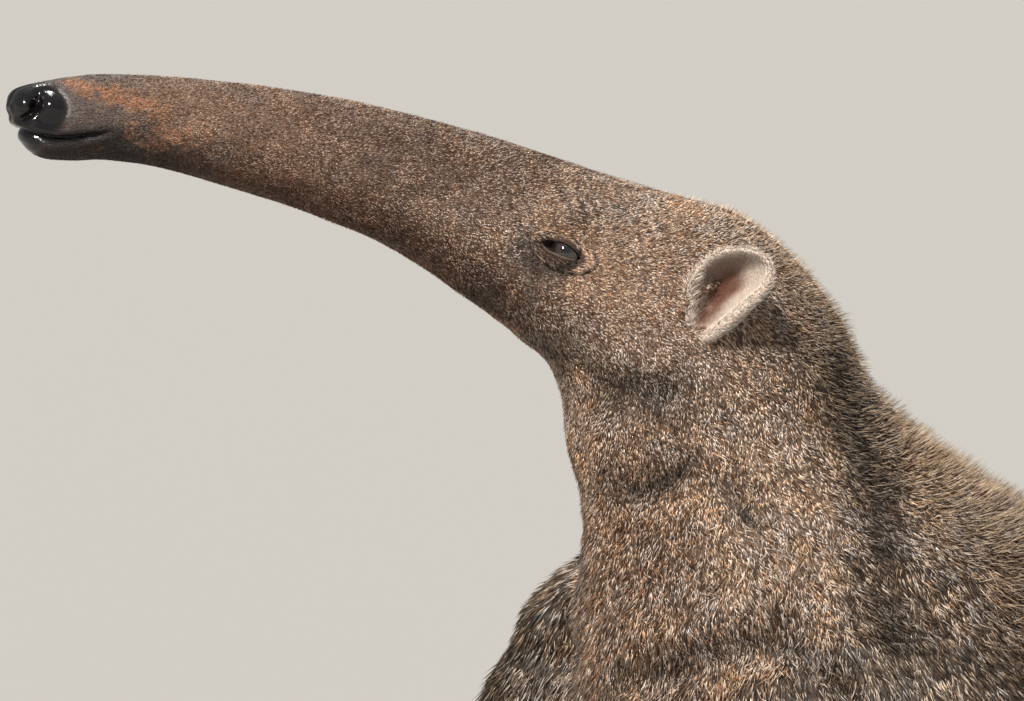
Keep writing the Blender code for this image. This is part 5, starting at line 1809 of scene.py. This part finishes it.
class GrowLongCoat(bpy.types.Operator):
    """Long hair of shoulders, flanks, crest and tail"""

    bl_idname = "anteater.grow_long_coat"
    bl_label = "Long coat"

    def execute(self, context):
        for coat in TRUNK_COATS[4:]:
            trunk_coat(coat)
        standing_coat("coat_bristles", 12500, 1, bristle_place, bristle_shape, 31, 0.9)
        standing_coat("coat_crest", 5500, 3, crest_place, crest_shape, 32, 0.25)
        standing_coat("coat_tail", 9000, 3, tail_place, tail_shape, 33, 0.10)
        return {"FINISHED"}


class GrowLegCoats(bpy.types.Operator):
    """Coat of the legs, with fringes behind them"""

    bl_idname = "anteater.grow_leg_coats"
    bl_label = "Leg coats"

    def execute(self, context):
        leg_coat("coat_forelegs", (1, 2), (-2, -1, 1, 2), 27000, 1, 21)
        leg_coat("coat_hind_legs", (3, 4), (0.13, 0.19, 1, 2), 8000, 2, 22)
        leg_coat("coat_shins", (3, 4), (-2, -1, 0.13, 0.19), 9000, 1, 23)
        return {"FINISHED"}


class MakeStage(bpy.types.Operator):
    """Pale floor, soft studio light and the camera"""

    bl_idname = "anteater.make_stage"
    bl_label = "Stage"

    def execute(self, context):
        mesh = bmesh.new()
        bmesh.ops.create_circle(mesh, cap_ends=True, segments=96, radius=90.0)
        floor = scratch("floor", mesh)
        floor.data.materials.append(finish("pale_floor"))
        world = bpy.data.worlds.new("studio")
        world.use_nodes = True
        background = world.node_tree.nodes["Background"]
        background.inputs["Color"].default_value = (0.92, 0.95, 1.0, 1.0)
        background.inputs["Strength"].default_value = 0.36
        context.scene.world = world
        context.scene.view_settings.view_transform = "Standard"
        self.sun("key", (0.62, -0.46, 0.66), 6.3, 5)
        self.sun("rim", (-0.55, 0.30, 0.78), 1.3, 12)
        self.camera(context)
        return {"FINISHED"}

    def sun(self, name, away, strength, width):
        data = bpy.data.lights.new(name, "SUN")
        data.energy = strength
        data.color = (1.0, 0.96, 0.90)
        data.angle = math.radians(width)
        light = bpy.data.objects.new(name, data)
        light.rotation_mode = "QUATERNION"
        light.rotation_quaternion = Vector(away).to_track_quat("Z", "Y")
        bpy.context.scene.collection.objects.link(light)

    def camera(self, context):
        data = bpy.data.cameras.new("camera")
        data.sensor_width = 36.0
        data.lens = 36.0 / (sizes().picture_width / sizes().camera_distance)
        data.clip_end = 200.0
        azimuth, elevation = (math.radians(turn) for turn in CAMERA_TURN)
        level = math.cos(elevation)
        back = Vector((math.sin(azimuth) * level, -math.cos(azimuth) * level, math.sin(elevation)))
        camera = bpy.data.objects.new("camera", data)
        camera.location = Vector(CAMERA_AIM) + Vector(OFFSET) + back * sizes().camera_distance
        camera.rotation_mode = "QUATERNION"
        camera.rotation_quaternion = back.to_track_quat("Z", "Y")
        context.scene.collection.objects.link(camera)
        context.scene.camera = camera


OPERATORS = (
    MakeStage,
    MakeSkin,
    MakeEyes,
    MakeEars,
    MakeClaws,
    GrowShortCoat,
    GrowLongCoat,
    GrowLegCoats,
)


class AnteaterPanel(bpy.types.Panel):
    """Lists the sizes, colours and steps of the anteater"""

    bl_idname = "VIEW3D_PT_anteater"
    bl_label = "Giant Anteater"
    bl_space_type = "VIEW_3D"
    bl_region_type = "UI"
    bl_category = "Anteater"

    def draw(self, context):
        layout = self.layout
        for group in (context.scene.anteater_sizes, context.scene.anteater_colours):
            box = layout.box()
            for name in type(group).__annotations__:
                box.prop(group, name)
        for operator in OPERATORS:
            layout.operator(operator.bl_idname)


CLASSES = (AnteaterSizes, AnteaterColours, *OPERATORS, AnteaterPanel)


def register():
    for item in CLASSES:
        bpy.utils.register_class(item)
    bpy.types.Scene.anteater_sizes = PointerProperty(type=AnteaterSizes)
    bpy.types.Scene.anteater_colours = PointerProperty(type=AnteaterColours)


def unregister():
    del bpy.types.Scene.anteater_colours
    del bpy.types.Scene.anteater_sizes
    for item in reversed(CLASSES):
        bpy.utils.unregister_class(item)


def main():
    register()
    for operator in OPERATORS:
        step = operator.bl_idname.split(".")[1]
        getattr(bpy.ops.anteater, step)()


if __name__ == "__main__":
    main()
